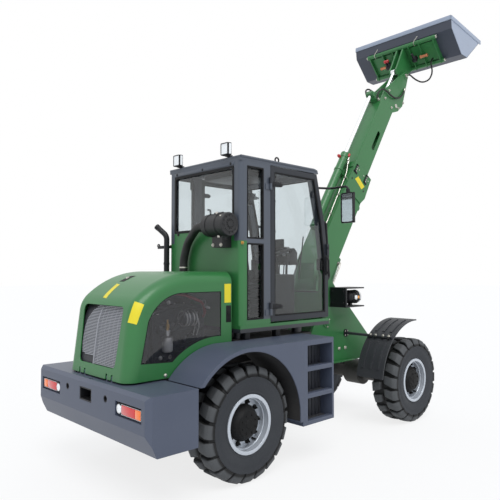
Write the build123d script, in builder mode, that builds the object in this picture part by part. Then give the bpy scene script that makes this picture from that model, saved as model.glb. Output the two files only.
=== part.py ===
"""Articulated telescopic loader: two frames hinged in the middle, a glazed cab,
a two section boom with a quick coupler and a bucket, at full size in millimetres."""

import os
from math import cos, hypot, radians, sin, sqrt, tan

from build123d import *

# Frame: +X forward, +Y left, +Z up, ground at z = 0.
# Stations along the machine are measured forward from the rear axle.
WHEELBASE = 2714
REAR_AXLE_X = -1862
STEER_X = 1357

# Wheels: 12.5/80-18 tyres
TYRE_RADIUS = 492
TYRE_HALF_WIDTH = 163
TYRE_CROWN_HALF = 138
TREAD_FLAT_HALF = 95
BEAD_RADIUS = 236
RIM_HALF_WIDTH = 146
RIM_FLANGE_RADIUS = 252
RIM_WALL = 12
LUGS = 20
LUG_HEIGHT = 26
LUG_WIDTH = 104
LUG_SLANT = 36
LUG_INNER_Y = 10
LUG_OUTER_Y = 152
LUG_ROOT = 62
DISC_THICK = 16
DISC_OFFSET = 30
WHEEL_Y = 692
HUB_RADIUS = 95
HUB_LENGTH = 70
SPINDLE_RADIUS = 60
SHAFT_FIT = 0.05
AXLE_Z = TYRE_RADIUS
AXLE_RADIUS = 92
DIFF_RADIUS = 155
AXLE_END_Y = 440

# Working gaps between pieces of different bodies
GAP = 8
SEAT = 0.3

# Rear body
CW_REAR_X = -1081
CW_FRONT_X = -630
CW_HALF = 934
CW_TOP_Z = 901
CW_BOTTOM_Z = 459
HOOD_HALF = 495
HOOD_WALL = 8
HOOD_TOP_Z = 1790
HOOD_FRONT_X = 92
HOOD_CORNER = 105
GUARD_CENTRE = (-90, 490)
GUARD_RADIUS = 632
GUARD_SHEET = 33
GUARD_TOP_Z = GUARD_CENTRE[1] + GUARD_RADIUS + GUARD_SHEET
GUARD_FRONT_X = 575
STEP_FRONT_X = 1025
STEP_BOTTOM_Z = 380
STEP_DEPTH = 150
STEP_WALL = 14
RAIL_INNER = 180
RAIL_OUTER = 220

# Cab
CAB_HALF = 558
CAB_REAR_X = 143
CAB_WALL = 50
CAB_BOTTOM_Z = 1225
CAB_FLOOR_Z = 1290
CAB_EAVE_Z = 2822
CAB_ROOF_Z = 2872
PILLAR_HALF = 518
PILLAR_FRONT = ((1430, CAB_FLOOR_Z), (1430, 1893), (1372, 2300), (1242, CAB_EAVE_Z))
PILLAR_DEPTH = 60
DOOR_INNER = 524
DOOR_REAR_X = 542
DOOR_BOTTOM_Z = 1305
DOOR_TOP_Z = 2814
DOOR_FRAME = 52
HINGE_X = 527
HINGE_Y = 573
HINGE_RADIUS = 14
HINGE_PIN_RADIUS = 6
HINGE_HEIGHTS = (1430, 2640)
GLASS = 6

# Front body and boom
PLATE_INNER = 165
PLATE_OUTER = 190
BOOM_PIVOT = (1800, 1640)
BOOM_ANGLE = 57.2
BOOM_PIN_RADIUS = 40
OUTER_HALF = 145
OUTER_TOP = 228
OUTER_LOW = -134
OUTER_END = 1707
OUTER_WALL = 12
INNER_HALF = 110
INNER_TOP = 198
INNER_LOW = -99
INNER_START = 1257
INNER_END = 2902
INNER_WALL = 10
SLIDE_GAP = 0.5
LIFT_BASE = (1850, 1190)
LIFT_PIN = (1297, -202)
LIFT_BARREL_RADIUS = 58
LIFT_ROD_RADIUS = 32
LIFT_BARREL_LENGTH = 880
EYE_RADIUS = 50
EYE_HALF = 32
TELE_AXIS = 318
TELE_BARREL = (603, 1783)
TELE_BARREL_RADIUS = 52
TELE_ROD_RADIUS = 26
TILT_PIVOT = (3640, -90)
TILT_PIN = (3577, 68)
TILT_ROD_RADIUS = 26
HEAD_INNER = 70
HEAD_OUTER = 95
PIVOT_PIN_RADIUS = 30

# Coupler and bucket, in the boom's own frame at rest
BUCKET_HALF = 790
BUCKET_WALL = 12
BUCKET_PROFILE = ((4216, 265), (4072, 152), (3984, -246), (4075, -395), (4647, -581))
COUPLER_HALF = 560
COUPLER_RIBS = (130, 300, 520)
RIB_HALF = 8

# Steering cylinder, plan positions
STEER_BASE = (907, -330)
STEER_EYE = (1660, -270)
STEER_Z = 780
STEER_BARREL_LENGTH = 480
STEER_BARREL_RADIUS = 38
STEER_ROD_RADIUS = 20


def side(y=0):
    """Side view plane at this y: across is the station, up is the height."""
    return Plane(origin=(REAR_AXLE_X, y, 0), x_dir=(1, 0, 0), z_dir=(0, -1, 0))


def boom_side(y=0):
    """Side view plane of the boom: across runs along it from its pivot, up is its top."""
    across = (cos(radians(BOOM_ANGLE)), 0, sin(radians(BOOM_ANGLE)))
    pivot = (REAR_AXLE_X + BOOM_PIVOT[0], y, BOOM_PIVOT[1])
    return Plane(origin=pivot, x_dir=across, z_dir=(0, -1, 0))


def at(x, y, z):
    """Point in the part's frame from a station measured from the rear axle."""
    return Vector(REAR_AXLE_X + x, y, z)


def on_boom(u, w, y=0):
    """Point in the part's frame from a place on the boom."""
    return boom_side(y).from_local_coords(Vector(u, w, 0))


def plate(points, low, high, view=side, mode=Mode.ADD):
    """Flat plate with this side outline, from y = low to y = high."""
    with BuildSketch(view(high)) as profile:
        with BuildLine():
            Polyline(*points, close=True)
        make_face()
    extrude(profile.sketch, amount=high - low, mode=mode)


def boss(centre, radius, low, high, view=side, mode=Mode.ADD):
    """Round boss across the machine, from y = low to y = high."""
    with BuildSketch(view(high)) as profile:
        with Locations(centre):
            Circle(radius)
    extrude(profile.sketch, amount=high - low, mode=mode)


def block(xs, ys, zs, mode=Mode.ADD):
    """Box between two stations, two y and two z."""
    with Locations(at(sum(xs) / 2, sum(ys) / 2, sum(zs) / 2)):
        Box(xs[1] - xs[0], ys[1] - ys[0], zs[1] - zs[0], mode=mode)


def bar(start, end, radius, mode=Mode.ADD):
    """Round bar between two points."""
    run = end - start
    with BuildSketch(Plane(origin=start, z_dir=run)) as section:
        Circle(radius)
    extrude(section.sketch, amount=run.length, mode=mode)


def post(x, y, zs, radius, mode=Mode.ADD):
    """Upright round bar at a station."""
    bar(at(x, y, zs[0]), at(x, y, zs[1]), radius, mode)


def pipe(points, radii, radius):
    """Round pipe along straight runs joined by arcs."""
    with BuildLine() as path:
        FilletPolyline(*points, radius=radii)
    with BuildSketch(Plane(origin=path.line @ 0, z_dir=path.line % 0)) as section:
        Circle(radius)
    sweep(section.sketch, path=path.line)


def shifted(points, inward):
    """Outline of the cab's front pillar moved back by this much."""
    return [(x - inward, z) for x, z in points]


made = []


def keep(builder, name):
    builder.part.label = name
    made.append(builder.part)


# Tyres and rims, four of each
WHEELS = {
    # name: station, y of the wheel's middle
    "front_left": (WHEELBASE, WHEEL_Y),
    "front_right": (WHEELBASE, -WHEEL_Y),
    "rear_left": (0, WHEEL_Y),
    "rear_right": (0, -WHEEL_Y),
}
TREAD_RADIUS = TYRE_RADIUS - LUG_HEIGHT
BEAD_HALF = RIM_HALF_WIDTH - RIM_WALL
TYRE_BANDS = (
    # distance from the tyre's middle plane, radius to the flats
    (BEAD_HALF, RIM_FLANGE_RADIUS + 1),
    (TYRE_HALF_WIDTH, BEAD_RADIUS + 120),
    (TYRE_CROWN_HALF, TREAD_RADIUS - 16),
    (TREAD_FLAT_HALF, TREAD_RADIUS),
)


def across_wheel(y):
    """Plane across the axle line at this distance from the tyre's middle."""
    return Plane(origin=(0, y, 0), x_dir=(1, 0, 0), z_dir=(0, 1, 0))


# Two rows of slanted lugs, cut round at the tread's full radius
LUG_PITCH = 360 / LUGS
LUG_RISE = LUG_ROOT + LUG_HEIGHT
with BuildPart() as tread_lugs:
    for row in (1, -1):
        lean = row * LUG_SLANT / 2
        for index in range(LUGS):
            turn = radians(index * LUG_PITCH + row * LUG_PITCH / 4 - 90)
            outwards = Vector(cos(turn), 0, sin(turn))
            foot = Plane(origin=outwards * (TYRE_RADIUS - LUG_ROOT), x_dir=(0, row, 0), z_dir=outwards)
            with BuildSketch(foot) as lug_foot:
                with BuildLine():
                    Polyline(
                        (LUG_INNER_Y, -lean - LUG_WIDTH / 2),
                        (LUG_OUTER_Y, lean - LUG_WIDTH / 2),
                        (LUG_OUTER_Y, lean + LUG_WIDTH / 2),
                        (LUG_INNER_Y, -lean + LUG_WIDTH / 2),
                        close=True,
                    )
                make_face()
            extrude(lug_foot.sketch, amount=LUG_RISE)
    with BuildSketch(across_wheel(-TYRE_HALF_WIDTH)) as tread_round:
        Circle(TYRE_RADIUS)
    extrude(tread_round.sketch, amount=2 * TYRE_HALF_WIDTH, mode=Mode.INTERSECT)

# Carcass with as many flats as there are lugs in a row
with BuildPart() as tyre_pattern:
    sections = [(-y, radius) for y, radius in TYRE_BANDS] + list(TYRE_BANDS)[::-1]
    for band_y, band_radius in sections:
        with BuildSketch(across_wheel(band_y)):
            RegularPolygon(band_radius, LUGS, major_radius=False)
    loft(ruled=True)
    with BuildSketch(across_wheel(-TYRE_HALF_WIDTH)) as bore:
        RegularPolygon(BEAD_RADIUS, LUGS, major_radius=False)
    extrude(bore.sketch, amount=2 * TYRE_HALF_WIDTH, mode=Mode.SUBTRACT)
    add(tread_lugs.part)

for place, (wheel_x, wheel_y) in WHEELS.items():
    outward = 1 if wheel_y > 0 else -1
    centre = at(wheel_x, wheel_y, AXLE_Z)
    wheel_plane = Plane(origin=centre, x_dir=(0, outward, 0), z_dir=(1, 0, 0))
    axle_line = Axis(centre, (0, 1, 0))
    radial = outward
    with BuildPart() as tyre:
        with Locations(centre):
            add(tyre_pattern.part)
    keep(tyre, f"tyre_{place}")

    with BuildPart() as rim:
        with BuildSketch(wheel_plane):
            with BuildLine():
                Polyline(
                    (-RIM_HALF_WIDTH, radial * RIM_FLANGE_RADIUS),
                    (-RIM_HALF_WIDTH + RIM_WALL, radial * RIM_FLANGE_RADIUS),
                    (-RIM_HALF_WIDTH + RIM_WALL, radial * BEAD_RADIUS),
                    (RIM_HALF_WIDTH - RIM_WALL, radial * BEAD_RADIUS),
                    (RIM_HALF_WIDTH - RIM_WALL, radial * RIM_FLANGE_RADIUS),
                    (RIM_HALF_WIDTH, radial * RIM_FLANGE_RADIUS),
                    (RIM_HALF_WIDTH, radial * (BEAD_RADIUS - RIM_WALL)),
                    (DISC_OFFSET + DISC_THICK, radial * (BEAD_RADIUS - 30)),
                    (DISC_OFFSET + DISC_THICK, radial * HUB_RADIUS),
                    (DISC_OFFSET + HUB_LENGTH, radial * HUB_RADIUS),
                    (DISC_OFFSET + HUB_LENGTH, radial * (SPINDLE_RADIUS + SHAFT_FIT)),
                    (DISC_OFFSET - HUB_LENGTH, radial * (SPINDLE_RADIUS + SHAFT_FIT)),
                    (DISC_OFFSET - HUB_LENGTH, radial * HUB_RADIUS),
                    (DISC_OFFSET, radial * HUB_RADIUS),
                    (DISC_OFFSET, radial * (BEAD_RADIUS - 34)),
                    (-RIM_HALF_WIDTH, radial * (BEAD_RADIUS - RIM_WALL)),
                    close=True,
                )
            make_face()
        revolve(axis=axle_line)
    keep(rim, f"rim_{place}")

# Axles: a beam with a round differential and a spindle for each wheel
HUB_INNER_Y = WHEEL_Y + DISC_OFFSET - HUB_LENGTH
PAD_Y = (165, 225)
AXLES = {
    # name: station, top of the pads that carry the frame
    "rear_axle": (0, 622),
    "front_axle": (WHEELBASE, 700),
}
for name, (axle_x, pad_top) in AXLES.items():
    with BuildPart() as axle:
        bar(at(axle_x, -AXLE_END_Y, AXLE_Z), at(axle_x, AXLE_END_Y, AXLE_Z), AXLE_RADIUS)
        bar(at(axle_x, -110, AXLE_Z), at(axle_x, 110, AXLE_Z), DIFF_RADIUS)
        for hand in (1, -1):
            flange = at(axle_x, hand * AXLE_END_Y, AXLE_Z)
            shoulder = at(axle_x, hand * (HUB_INNER_Y - 1), AXLE_Z)
            spindle_end = at(axle_x, hand * (WHEEL_Y + DISC_OFFSET + HUB_LENGTH), AXLE_Z)
            bar(flange, shoulder, HUB_RADIUS + 20)
            bar(shoulder, spindle_end, SPINDLE_RADIUS)
            pad_y = sorted((hand * PAD_Y[0], hand * PAD_Y[1]))
            block((axle_x - 60, axle_x + 60), pad_y, (AXLE_Z, pad_top))
    keep(axle, name)

# Rear frame: two rails, cross members and the two ears of the steering hinge
PAD_TOP_Z = AXLES["rear_axle"][1]
DECK_TOP_Z = GUARD_TOP_Z
DECK_Z = (DECK_TOP_Z - 50, DECK_TOP_Z)
RAIL_FRONT_X = 1060
RAIL_TOP_Z = 880
NOSE_X = 1200
NOSE_HALF = 150
NOSE_Z = (540, 990)
HINGE_EARS = ((560, 600), (930, 970))
EAR_RADIUS = 70
STEER_PIN_RADIUS = 30
with BuildPart() as rear_frame:
    for low, high in ((RAIL_INNER, RAIL_OUTER), (-RAIL_OUTER, -RAIL_INNER)):
        block((CW_FRONT_X, RAIL_FRONT_X), (low, high), (PAD_TOP_Z, RAIL_TOP_Z))
    for low, high in ((CW_FRONT_X, CW_FRONT_X + 60), (-280, -200), (420, 480)):
        block((low, high), (-RAIL_INNER, RAIL_INNER), (680, 860))
    block((RAIL_FRONT_X - 20, RAIL_FRONT_X), (-RAIL_OUTER, RAIL_OUTER), NOSE_Z)
    block((RAIL_FRONT_X, NOSE_X), (-NOSE_HALF, NOSE_HALF), NOSE_Z)
    for low, high in HINGE_EARS:
        block((NOSE_X, STEER_X), (-EAR_RADIUS, EAR_RADIUS), (low, high))
        post(STEER_X, 0, (low, high), EAR_RADIUS)
    post(STEER_X, 0, (HINGE_EARS[0][0], HINGE_EARS[1][1]), STEER_PIN_RADIUS)
    block((150, NOSE_X), (-HOOD_HALF - 10, HOOD_HALF + 10), DECK_Z)
    for low, high in ((RAIL_INNER, RAIL_OUTER), (-RAIL_OUTER, -RAIL_INNER)):
        block((150, 260), (low, high), (RAIL_TOP_Z, DECK_Z[0]))
    block((RAIL_FRONT_X, NOSE_X), (-NOSE_HALF, NOSE_HALF), (NOSE_Z[1], DECK_Z[0]))
    for low, high in ((RAIL_OUTER, HOOD_HALF + 10), (-HOOD_HALF - 10, -RAIL_OUTER)):
        block((700, 790), (low, high), (820, 880))
    for low, high in ((STEER_Z - 70, STEER_Z - 46), (STEER_Z + 46, STEER_Z + 70)):
        block((STEER_BASE[0] - 50, STEER_BASE[0] + 50), (STEER_BASE[1] - 45, -RAIL_OUTER), (low, high))
    post(*STEER_BASE, (STEER_Z - 70, STEER_Z + 70), 18)
keep(rear_frame, "rear_frame")

# Hood hinge, on lugs that stand on the counterweight
HOOD_FOOT_Z = CW_TOP_Z + 15
HOOD_PIN_RADIUS = 10
HOOD_HINGE = (-978, CW_TOP_Z + 37)
HOOD_KNUCKLES = ((200, 260), (-260, -200))
LUG_THICK = 18
LUG_HALF = 14

# Counterweight: cast block across the tail, with a hitch slot and lamp pockets
HITCH_HALF = 102
HITCH_PIN_RADIUS = 20
HITCH_PIN_SETBACK = 52
CW_EDGE = 40
HITCH_Z = (724, 833)
LAMP_Y = (480, 850)
LAMP_Z = (699, 810)
LAMP_DEPTH = 25
with BuildPart() as counterweight:
    cw_side = (
        (CW_REAR_X, 622),
        (CW_REAR_X, CW_TOP_Z - 30),
        (CW_REAR_X + 30, CW_TOP_Z),
        (CW_FRONT_X, CW_TOP_Z),
        (CW_FRONT_X, CW_BOTTOM_Z),
        (CW_REAR_X + 81, CW_BOTTOM_Z),
    )
    plate(cw_side, -CW_HALF, CW_HALF)
    tail_edges = counterweight.edges().filter_by(Axis.Z).group_by(Axis.X)[0]
    chamfer(tail_edges, CW_EDGE)
    block((CW_REAR_X, CW_REAR_X + 180), (-HITCH_HALF, HITCH_HALF), HITCH_Z, Mode.SUBTRACT)
    post(CW_REAR_X + HITCH_PIN_SETBACK, 0, (HITCH_Z[0] - 60, CW_TOP_Z), HITCH_PIN_RADIUS, Mode.SUBTRACT)
    for low, high in (LAMP_Y, (-LAMP_Y[1], -LAMP_Y[0])):
        block((CW_REAR_X, CW_REAR_X + LAMP_DEPTH), (low, high), LAMP_Z, Mode.SUBTRACT)
    for hole_y in (-330, 330):
        bar(at(CW_REAR_X, hole_y, 796), at(CW_REAR_X + 60, hole_y, 796), 28, Mode.SUBTRACT)
    for low, high in HOOD_KNUCKLES:
        for lug_y in (low - LUG_THICK - SEAT, high + SEAT):
            lug_x = (HOOD_HINGE[0] - LUG_HALF, HOOD_HINGE[0] + LUG_HALF)
            block(lug_x, (lug_y, lug_y + LUG_THICK), (CW_TOP_Z, HOOD_HINGE[1]))
            boss(HOOD_HINGE, LUG_HALF, lug_y, lug_y + LUG_THICK)
        boss(HOOD_HINGE, HOOD_PIN_RADIUS, low - LUG_THICK, high + LUG_THICK)
keep(counterweight, "counterweight")

with BuildPart() as tail_lamps:
    block((CW_REAR_X + 2, CW_REAR_X + LAMP_DEPTH), (LAMP_Y[0] + 10, LAMP_Y[1] - 10), (LAMP_Z[0] + 10, LAMP_Z[1] - 10))
    mirror(about=Plane.XZ)
keep(tail_lamps, "tail_lamps")

# Engine: one plain block on the rails under the hood
ENGINE_X = (-620, -60)
ENGINE_HALF = 280
ENGINE_HEIGHT = 600
with BuildPart() as engine_block:
    block(ENGINE_X, (-ENGINE_HALF, ENGINE_HALF), (RAIL_TOP_Z, RAIL_TOP_Z + ENGINE_HEIGHT))
keep(engine_block, "engine_block")

# Hood: pressed steel shell, hinged at its rear foot
HOOD_REAR_X = -1000
HOOD_LEAN = 62
HOOD_SHOULDER_Z = 1420
HOOD_OPEN = 30
HOOD_SWEEP = 840
HOOD_CROWN_X = -312
HOOD_KNEE = 220
HOOD_ARCH = GUARD_RADIUS + 13


def hood_body(inset, drop=0, corner=HOOD_CORNER):
    """Solid hood drawn in by inset, its foot and front carried on by drop, its long edges rounded."""
    half = HOOD_HALF - inset
    rear = HOOD_REAR_X + inset
    top = HOOD_TOP_Z - inset
    front = HOOD_FRONT_X + drop
    lean = HOOD_LEAN / (HOOD_SHOULDER_Z - HOOD_FOOT_Z)
    foot = (rear - lean * drop, HOOD_FOOT_Z - drop)
    sweep = HOOD_SWEEP - inset
    run = rear - HOOD_CROWN_X
    fall = HOOD_FOOT_Z - HOOD_TOP_Z + HOOD_SWEEP
    share = 1 + lean**2
    half_sum = lean * run + fall
    climb = (sqrt(half_sum**2 - share * (run**2 + fall**2 - sweep**2)) - half_sum) / share
    brow = (rear + lean * climb, HOOD_FOOT_Z + climb)
    crown = (HOOD_CROWN_X, top)
    with BuildSketch(side(half)) as profile:
        with BuildLine():
            Line(foot, brow)
            TangentArc(crown, brow, tangent=(-1, 0))
            Polyline(crown, (front, top), (front, foot[1]), foot)
        make_face()
        knee = min(profile.vertices(), key=lambda corner: hypot(corner.X - brow[0], corner.Y - brow[1]))
        fillet(knee, HOOD_KNEE - inset)
        with Locations(GUARD_CENTRE):
            Circle(HOOD_ARCH - drop, mode=Mode.SUBTRACT)
    body = extrude(profile.sketch, amount=2 * half, mode=Mode.PRIVATE)
    if corner == 0:
        return body
    long_edges = []
    for edge in body.edges():
        middle = edge.center() - at(0, 0, 0)
        on_side = abs(abs(middle.Y) - half) < SEAT
        behind = middle.X < brow[0]
        above = middle.Z > HOOD_SHOULDER_Z + 1 and middle.X < front - 1
        if on_side and (behind or above):
            long_edges.append(edge)
    return body.fillet(corner - inset, long_edges)


# Side window in the hood: its foot follows the mudguard, its rear the hood's crown
WINDOW_ARCH = HOOD_ARCH + 80
WINDOW_FRONT_X = -35
WINDOW_LOW_Z = 1040
WINDOW_FOOT = (-865, 1056)
WINDOW_SHOULDER = (-800, 1385)
WINDOW_BEND = (-456, 1612)


def hood_window(low, high, mode=Mode.ADD):
    """Side window of the hood, from y = low to y = high."""
    centre_x, centre_z = GUARD_CENTRE
    arch_rear = (centre_x - sqrt(WINDOW_ARCH**2 - (WINDOW_LOW_Z - centre_z) ** 2), WINDOW_LOW_Z)
    arch_front = (WINDOW_FRONT_X, centre_z + sqrt(WINDOW_ARCH**2 - (WINDOW_FRONT_X - centre_x) ** 2))
    with BuildSketch(side(high)) as pane:
        with BuildLine():
            Line(WINDOW_FOOT, arch_rear)
            RadiusArc(arch_rear, arch_front, WINDOW_ARCH)
            Polyline(arch_front, (WINDOW_FRONT_X, WINDOW_BEND[1]), WINDOW_BEND)
            TangentArc(WINDOW_BEND, WINDOW_SHOULDER, tangent=(-1, 0))
            Line(WINDOW_SHOULDER, WINDOW_FOOT)
        make_face()
    extrude(pane.sketch, amount=high - low, mode=mode)


# Grille in the hood's rear face: a slotted panel with a bar up its middle
GRILLE_Z = (1010, 1505)
GRILLE_HALVES = (300, 336)
GRILLE_ROUND = 45
GRILLE_MARGIN = 18
GRILLE_THICK = 14
GRILLE_BAR_HALF = 14
GRILLE_BORDER = 22
GRILLE_REACH = 200
SLOT_PITCH = 26
SLOT_HEIGHT = 15


def grille_half(z):
    """Half width of the grille's opening at this height."""
    share = (z - GRILLE_Z[0]) / (GRILLE_Z[1] - GRILLE_Z[0])
    return GRILLE_HALVES[0] + (GRILLE_HALVES[1] - GRILLE_HALVES[0]) * share


def grille_opening(margin):
    """Block through the hood's rear face with the grille's outline drawn out by margin."""
    rear_view = Plane(origin=at(HOOD_REAR_X - GRILLE_REACH / 2, 0, 0), x_dir=(0, 1, 0), z_dir=(1, 0, 0))
    foot, top = (half + margin for half in GRILLE_HALVES)
    low, high = GRILLE_Z[0] - margin, GRILLE_Z[1] + margin
    with BuildSketch(rear_view) as outline:
        with BuildLine():
            Polyline((-foot, low), (foot, low), (top, high), (-top, high), close=True)
        make_face()
        fillet(outline.vertices(), GRILLE_ROUND)
    return extrude(outline.sketch, amount=1.5 * GRILLE_REACH, mode=Mode.PRIVATE)


# Intake hose: it comes down in front of the hood, through a notch in the hood's top edge
HOSE_RADIUS = 40
HOSE_PLACE = (84, 230)
hose_x, hose_y = HOSE_PLACE
hose_room = HOSE_RADIUS + 2 * GAP

with BuildPart() as hood:
    add(hood_body(0))
    add(hood_body(HOOD_WALL, HOOD_OPEN), mode=Mode.SUBTRACT)
    notch_x = (hose_x - hose_room, HOOD_FRONT_X + GAP)
    block(notch_x, (hose_y - hose_room, hose_y + hose_room), (HOOD_TOP_Z - HOOD_CORNER, HOOD_TOP_Z + GAP), Mode.SUBTRACT)
    hood_window(-HOOD_HALF, HOOD_HALF, Mode.SUBTRACT)
    add(grille_opening(0), mode=Mode.SUBTRACT)
    for low, high in HOOD_KNUCKLES:
        boss(HOOD_HINGE, 2 * HOOD_PIN_RADIUS, low, high)
        boss(HOOD_HINGE, HOOD_PIN_RADIUS + SHAFT_FIT, low, high, mode=Mode.SUBTRACT)
        for notch in ((low - LUG_THICK - GAP, low), (high, high + LUG_THICK + GAP)):
            notch_z = (HOOD_FOOT_Z - 1, HOOD_HINGE[1] + LUG_HALF + GAP)
            block((HOOD_REAR_X - 1, HOOD_HINGE[0] + 30), notch, notch_z, Mode.SUBTRACT)
keep(hood, "hood")

with BuildPart() as hood_windows:
    hood_window(HOOD_HALF - HOOD_WALL + 2, HOOD_HALF - 2)
    mirror(about=Plane.XZ)
keep(hood_windows, "hood_windows")

with BuildPart() as grille:
    add(hood_body(HOOD_WALL, corner=0))
    add(hood_body(HOOD_WALL + GRILLE_THICK, HOOD_OPEN, corner=0), mode=Mode.SUBTRACT)
    add(grille_opening(GRILLE_MARGIN), mode=Mode.INTERSECT)
    slot_low = GRILLE_Z[0] + GRILLE_BORDER
    while slot_low + SLOT_HEIGHT < GRILLE_Z[1] - GRILLE_BORDER:
        slot_z = (slot_low, slot_low + SLOT_HEIGHT)
        slot_end = grille_half(slot_low) - GRILLE_BORDER
        for slot_y in ((GRILLE_BAR_HALF, slot_end), (-slot_end, -GRILLE_BAR_HALF)):
            block((HOOD_REAR_X, HOOD_REAR_X + GRILLE_REACH), slot_y, slot_z, Mode.SUBTRACT)
        slot_low += SLOT_PITCH
keep(grille, "grille")

# Rear mudguards: arched sheet over each wheel, flat on top towards the steps
GUARD_INNER_Y = HOOD_HALF + 10
GUARD_FOOT_Z = 421
with BuildPart() as rear_mudguards:
    with BuildSketch(side(CW_HALF)):
        with Locations(GUARD_CENTRE):
            Circle(GUARD_RADIUS + GUARD_SHEET)
        corner = (GUARD_CENTRE[0], GUARD_FOOT_Z)
        with Locations(corner):
            Rectangle(GUARD_FRONT_X - corner[0], GUARD_TOP_Z - GUARD_FOOT_Z, align=(Align.MIN, Align.MIN))
        with Locations(GUARD_CENTRE):
            Circle(GUARD_RADIUS, mode=Mode.SUBTRACT)
        with Locations((GUARD_CENTRE[0], CW_TOP_Z)):
            Rectangle(1000, 1200, align=(Align.MAX, Align.MAX), mode=Mode.SUBTRACT)
        with Locations(corner):
            Rectangle(1000, 1000, align=(Align.MIN, Align.MAX), mode=Mode.SUBTRACT)
    extrude(amount=CW_HALF - GUARD_INNER_Y)
    mirror(about=Plane.XZ)
keep(rear_mudguards, "rear_mudguards")

# Step boxes: closed boxes ahead of the rear wheels with three treads let in
TREAD_X = (640, 1000)
TREADS = ((400, 622), (648, 868), (894, 1105))
with BuildPart() as step_boxes:
    block((GUARD_FRONT_X, STEP_FRONT_X), (GUARD_INNER_Y, CW_HALF), (STEP_BOTTOM_Z, GUARD_TOP_Z))
    for tread in TREADS:
        block(TREAD_X, (CW_HALF - STEP_DEPTH, CW_HALF), tread, Mode.SUBTRACT)
    hollow_x = (GUARD_FRONT_X + STEP_WALL, STEP_FRONT_X - STEP_WALL)
    hollow_y = (GUARD_INNER_Y + STEP_WALL, CW_HALF - STEP_DEPTH - STEP_WALL)
    block(hollow_x, hollow_y, (STEP_BOTTOM_Z, GUARD_TOP_Z - STEP_WALL), Mode.SUBTRACT)
    mirror(about=Plane.XZ)
keep(step_boxes, "step_boxes")

# Cab floor on four mounts, then its panels
MOUNT_X = (260, 1080)
MOUNT_Y = 400
MOUNT_RADIUS = 55
with BuildPart() as cab_floor:
    block((CAB_REAR_X, PILLAR_FRONT[0][0]), (-CAB_HALF, CAB_HALF), (CAB_BOTTOM_Z, CAB_FLOOR_Z))
    for mount_x in MOUNT_X:
        for mount_y in (-MOUNT_Y, MOUNT_Y):
            post(mount_x, mount_y, (DECK_TOP_Z, CAB_BOTTOM_Z), MOUNT_RADIUS)
keep(cab_floor, "cab_floor")

REAR_WINDOW = ((-470, 470), (2182, 2780))
QUARTER_X = (225, 445)
CORNER_TOP_Z = 2076
CORNER_ROUND = 40
REAR_WALL_X = (CAB_REAR_X, CAB_REAR_X + CAB_WALL)


def round_corners(builder):
    """Round the two outer upright edges of a panel of the cab's rear."""
    uprights = builder.edges().filter_by(Axis.Z).group_by(Axis.X)[0]
    fillet([edge for edge in uprights if abs(edge.center().Y) > CAB_HALF - 1], CORNER_ROUND)


with BuildPart() as cab_rear_panel:
    block(REAR_WALL_X, (-CAB_HALF, CAB_HALF), (CAB_FLOOR_Z, CORNER_TOP_Z))
    block(REAR_WALL_X, REAR_WINDOW[0], (CORNER_TOP_Z, REAR_WINDOW[1][0]))
    for low, high in ((CAB_HALF - CAB_WALL, CAB_HALF), (-CAB_HALF, -CAB_HALF + CAB_WALL)):
        block((REAR_WALL_X[1], QUARTER_X[0]), (low, high), (CAB_FLOOR_Z, CORNER_TOP_Z))
    round_corners(cab_rear_panel)
keep(cab_rear_panel, "cab_rear_panel")

with BuildPart() as cab_rear_frame:
    block(REAR_WALL_X, (-CAB_HALF, CAB_HALF), (CORNER_TOP_Z, CAB_EAVE_Z))
    block(REAR_WALL_X, REAR_WINDOW[0], (CORNER_TOP_Z, REAR_WINDOW[1][1]), Mode.SUBTRACT)
    round_corners(cab_rear_frame)
keep(cab_rear_frame, "cab_rear_frame")

QUARTER_PANES = ((1340, 2055), (2097, 2780))
PILLAR_B_X = DOOR_REAR_X - 6
HINGE_LEAF = 8
HINGE_LEAF_LENGTH = 62
KNUCKLE = 60
with BuildPart() as cab_sides:
    block((CAB_REAR_X + CAB_WALL, PILLAR_B_X), (CAB_HALF - CAB_WALL, CAB_HALF), (CAB_FLOOR_Z, CAB_EAVE_Z))
    for pane in QUARTER_PANES:
        block(QUARTER_X, (CAB_HALF - CAB_WALL, CAB_HALF), pane, Mode.SUBTRACT)
    corner_x = (REAR_WALL_X[1], QUARTER_X[0])
    block(corner_x, (CAB_HALF - CAB_WALL, CAB_HALF), (CAB_FLOOR_Z, CORNER_TOP_Z), Mode.SUBTRACT)
    for height in HINGE_HEIGHTS:
        block((HINGE_X - HINGE_LEAF_LENGTH, HINGE_X), (CAB_HALF, CAB_HALF + HINGE_LEAF), (height - KNUCKLE, height - 5))
        post(HINGE_X, HINGE_Y, (height - KNUCKLE, height), HINGE_RADIUS)
        post(HINGE_X, HINGE_Y, (height, height + KNUCKLE), HINGE_PIN_RADIUS)
    mirror(about=Plane.XZ)
keep(cab_sides, "cab_sides")

SCREEN_Z = (1560, 2762)
SCREEN_HALF = PILLAR_HALF - 60
RAIL_FOOT_X = 1392
GRAB_Y = 490
GRAB_TOP_Z = 2330
GRAB_LOW_Z = 1700
with BuildPart() as cab_front:
    plate(list(PILLAR_FRONT) + shifted(PILLAR_FRONT, PILLAR_DEPTH)[::-1], -PILLAR_HALF, PILLAR_HALF)
    block((1100, 1500), (-SCREEN_HALF, SCREEN_HALF), SCREEN_Z, Mode.SUBTRACT)
    for hand in (-1, 1):
        foot_y = sorted((hand * (GRAB_Y - 18), hand * (GRAB_Y + 18)))
        block((1340, RAIL_FOOT_X), foot_y, (GRAB_TOP_Z - 18, GRAB_TOP_Z + 18))
keep(cab_front, "cab_front")

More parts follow.
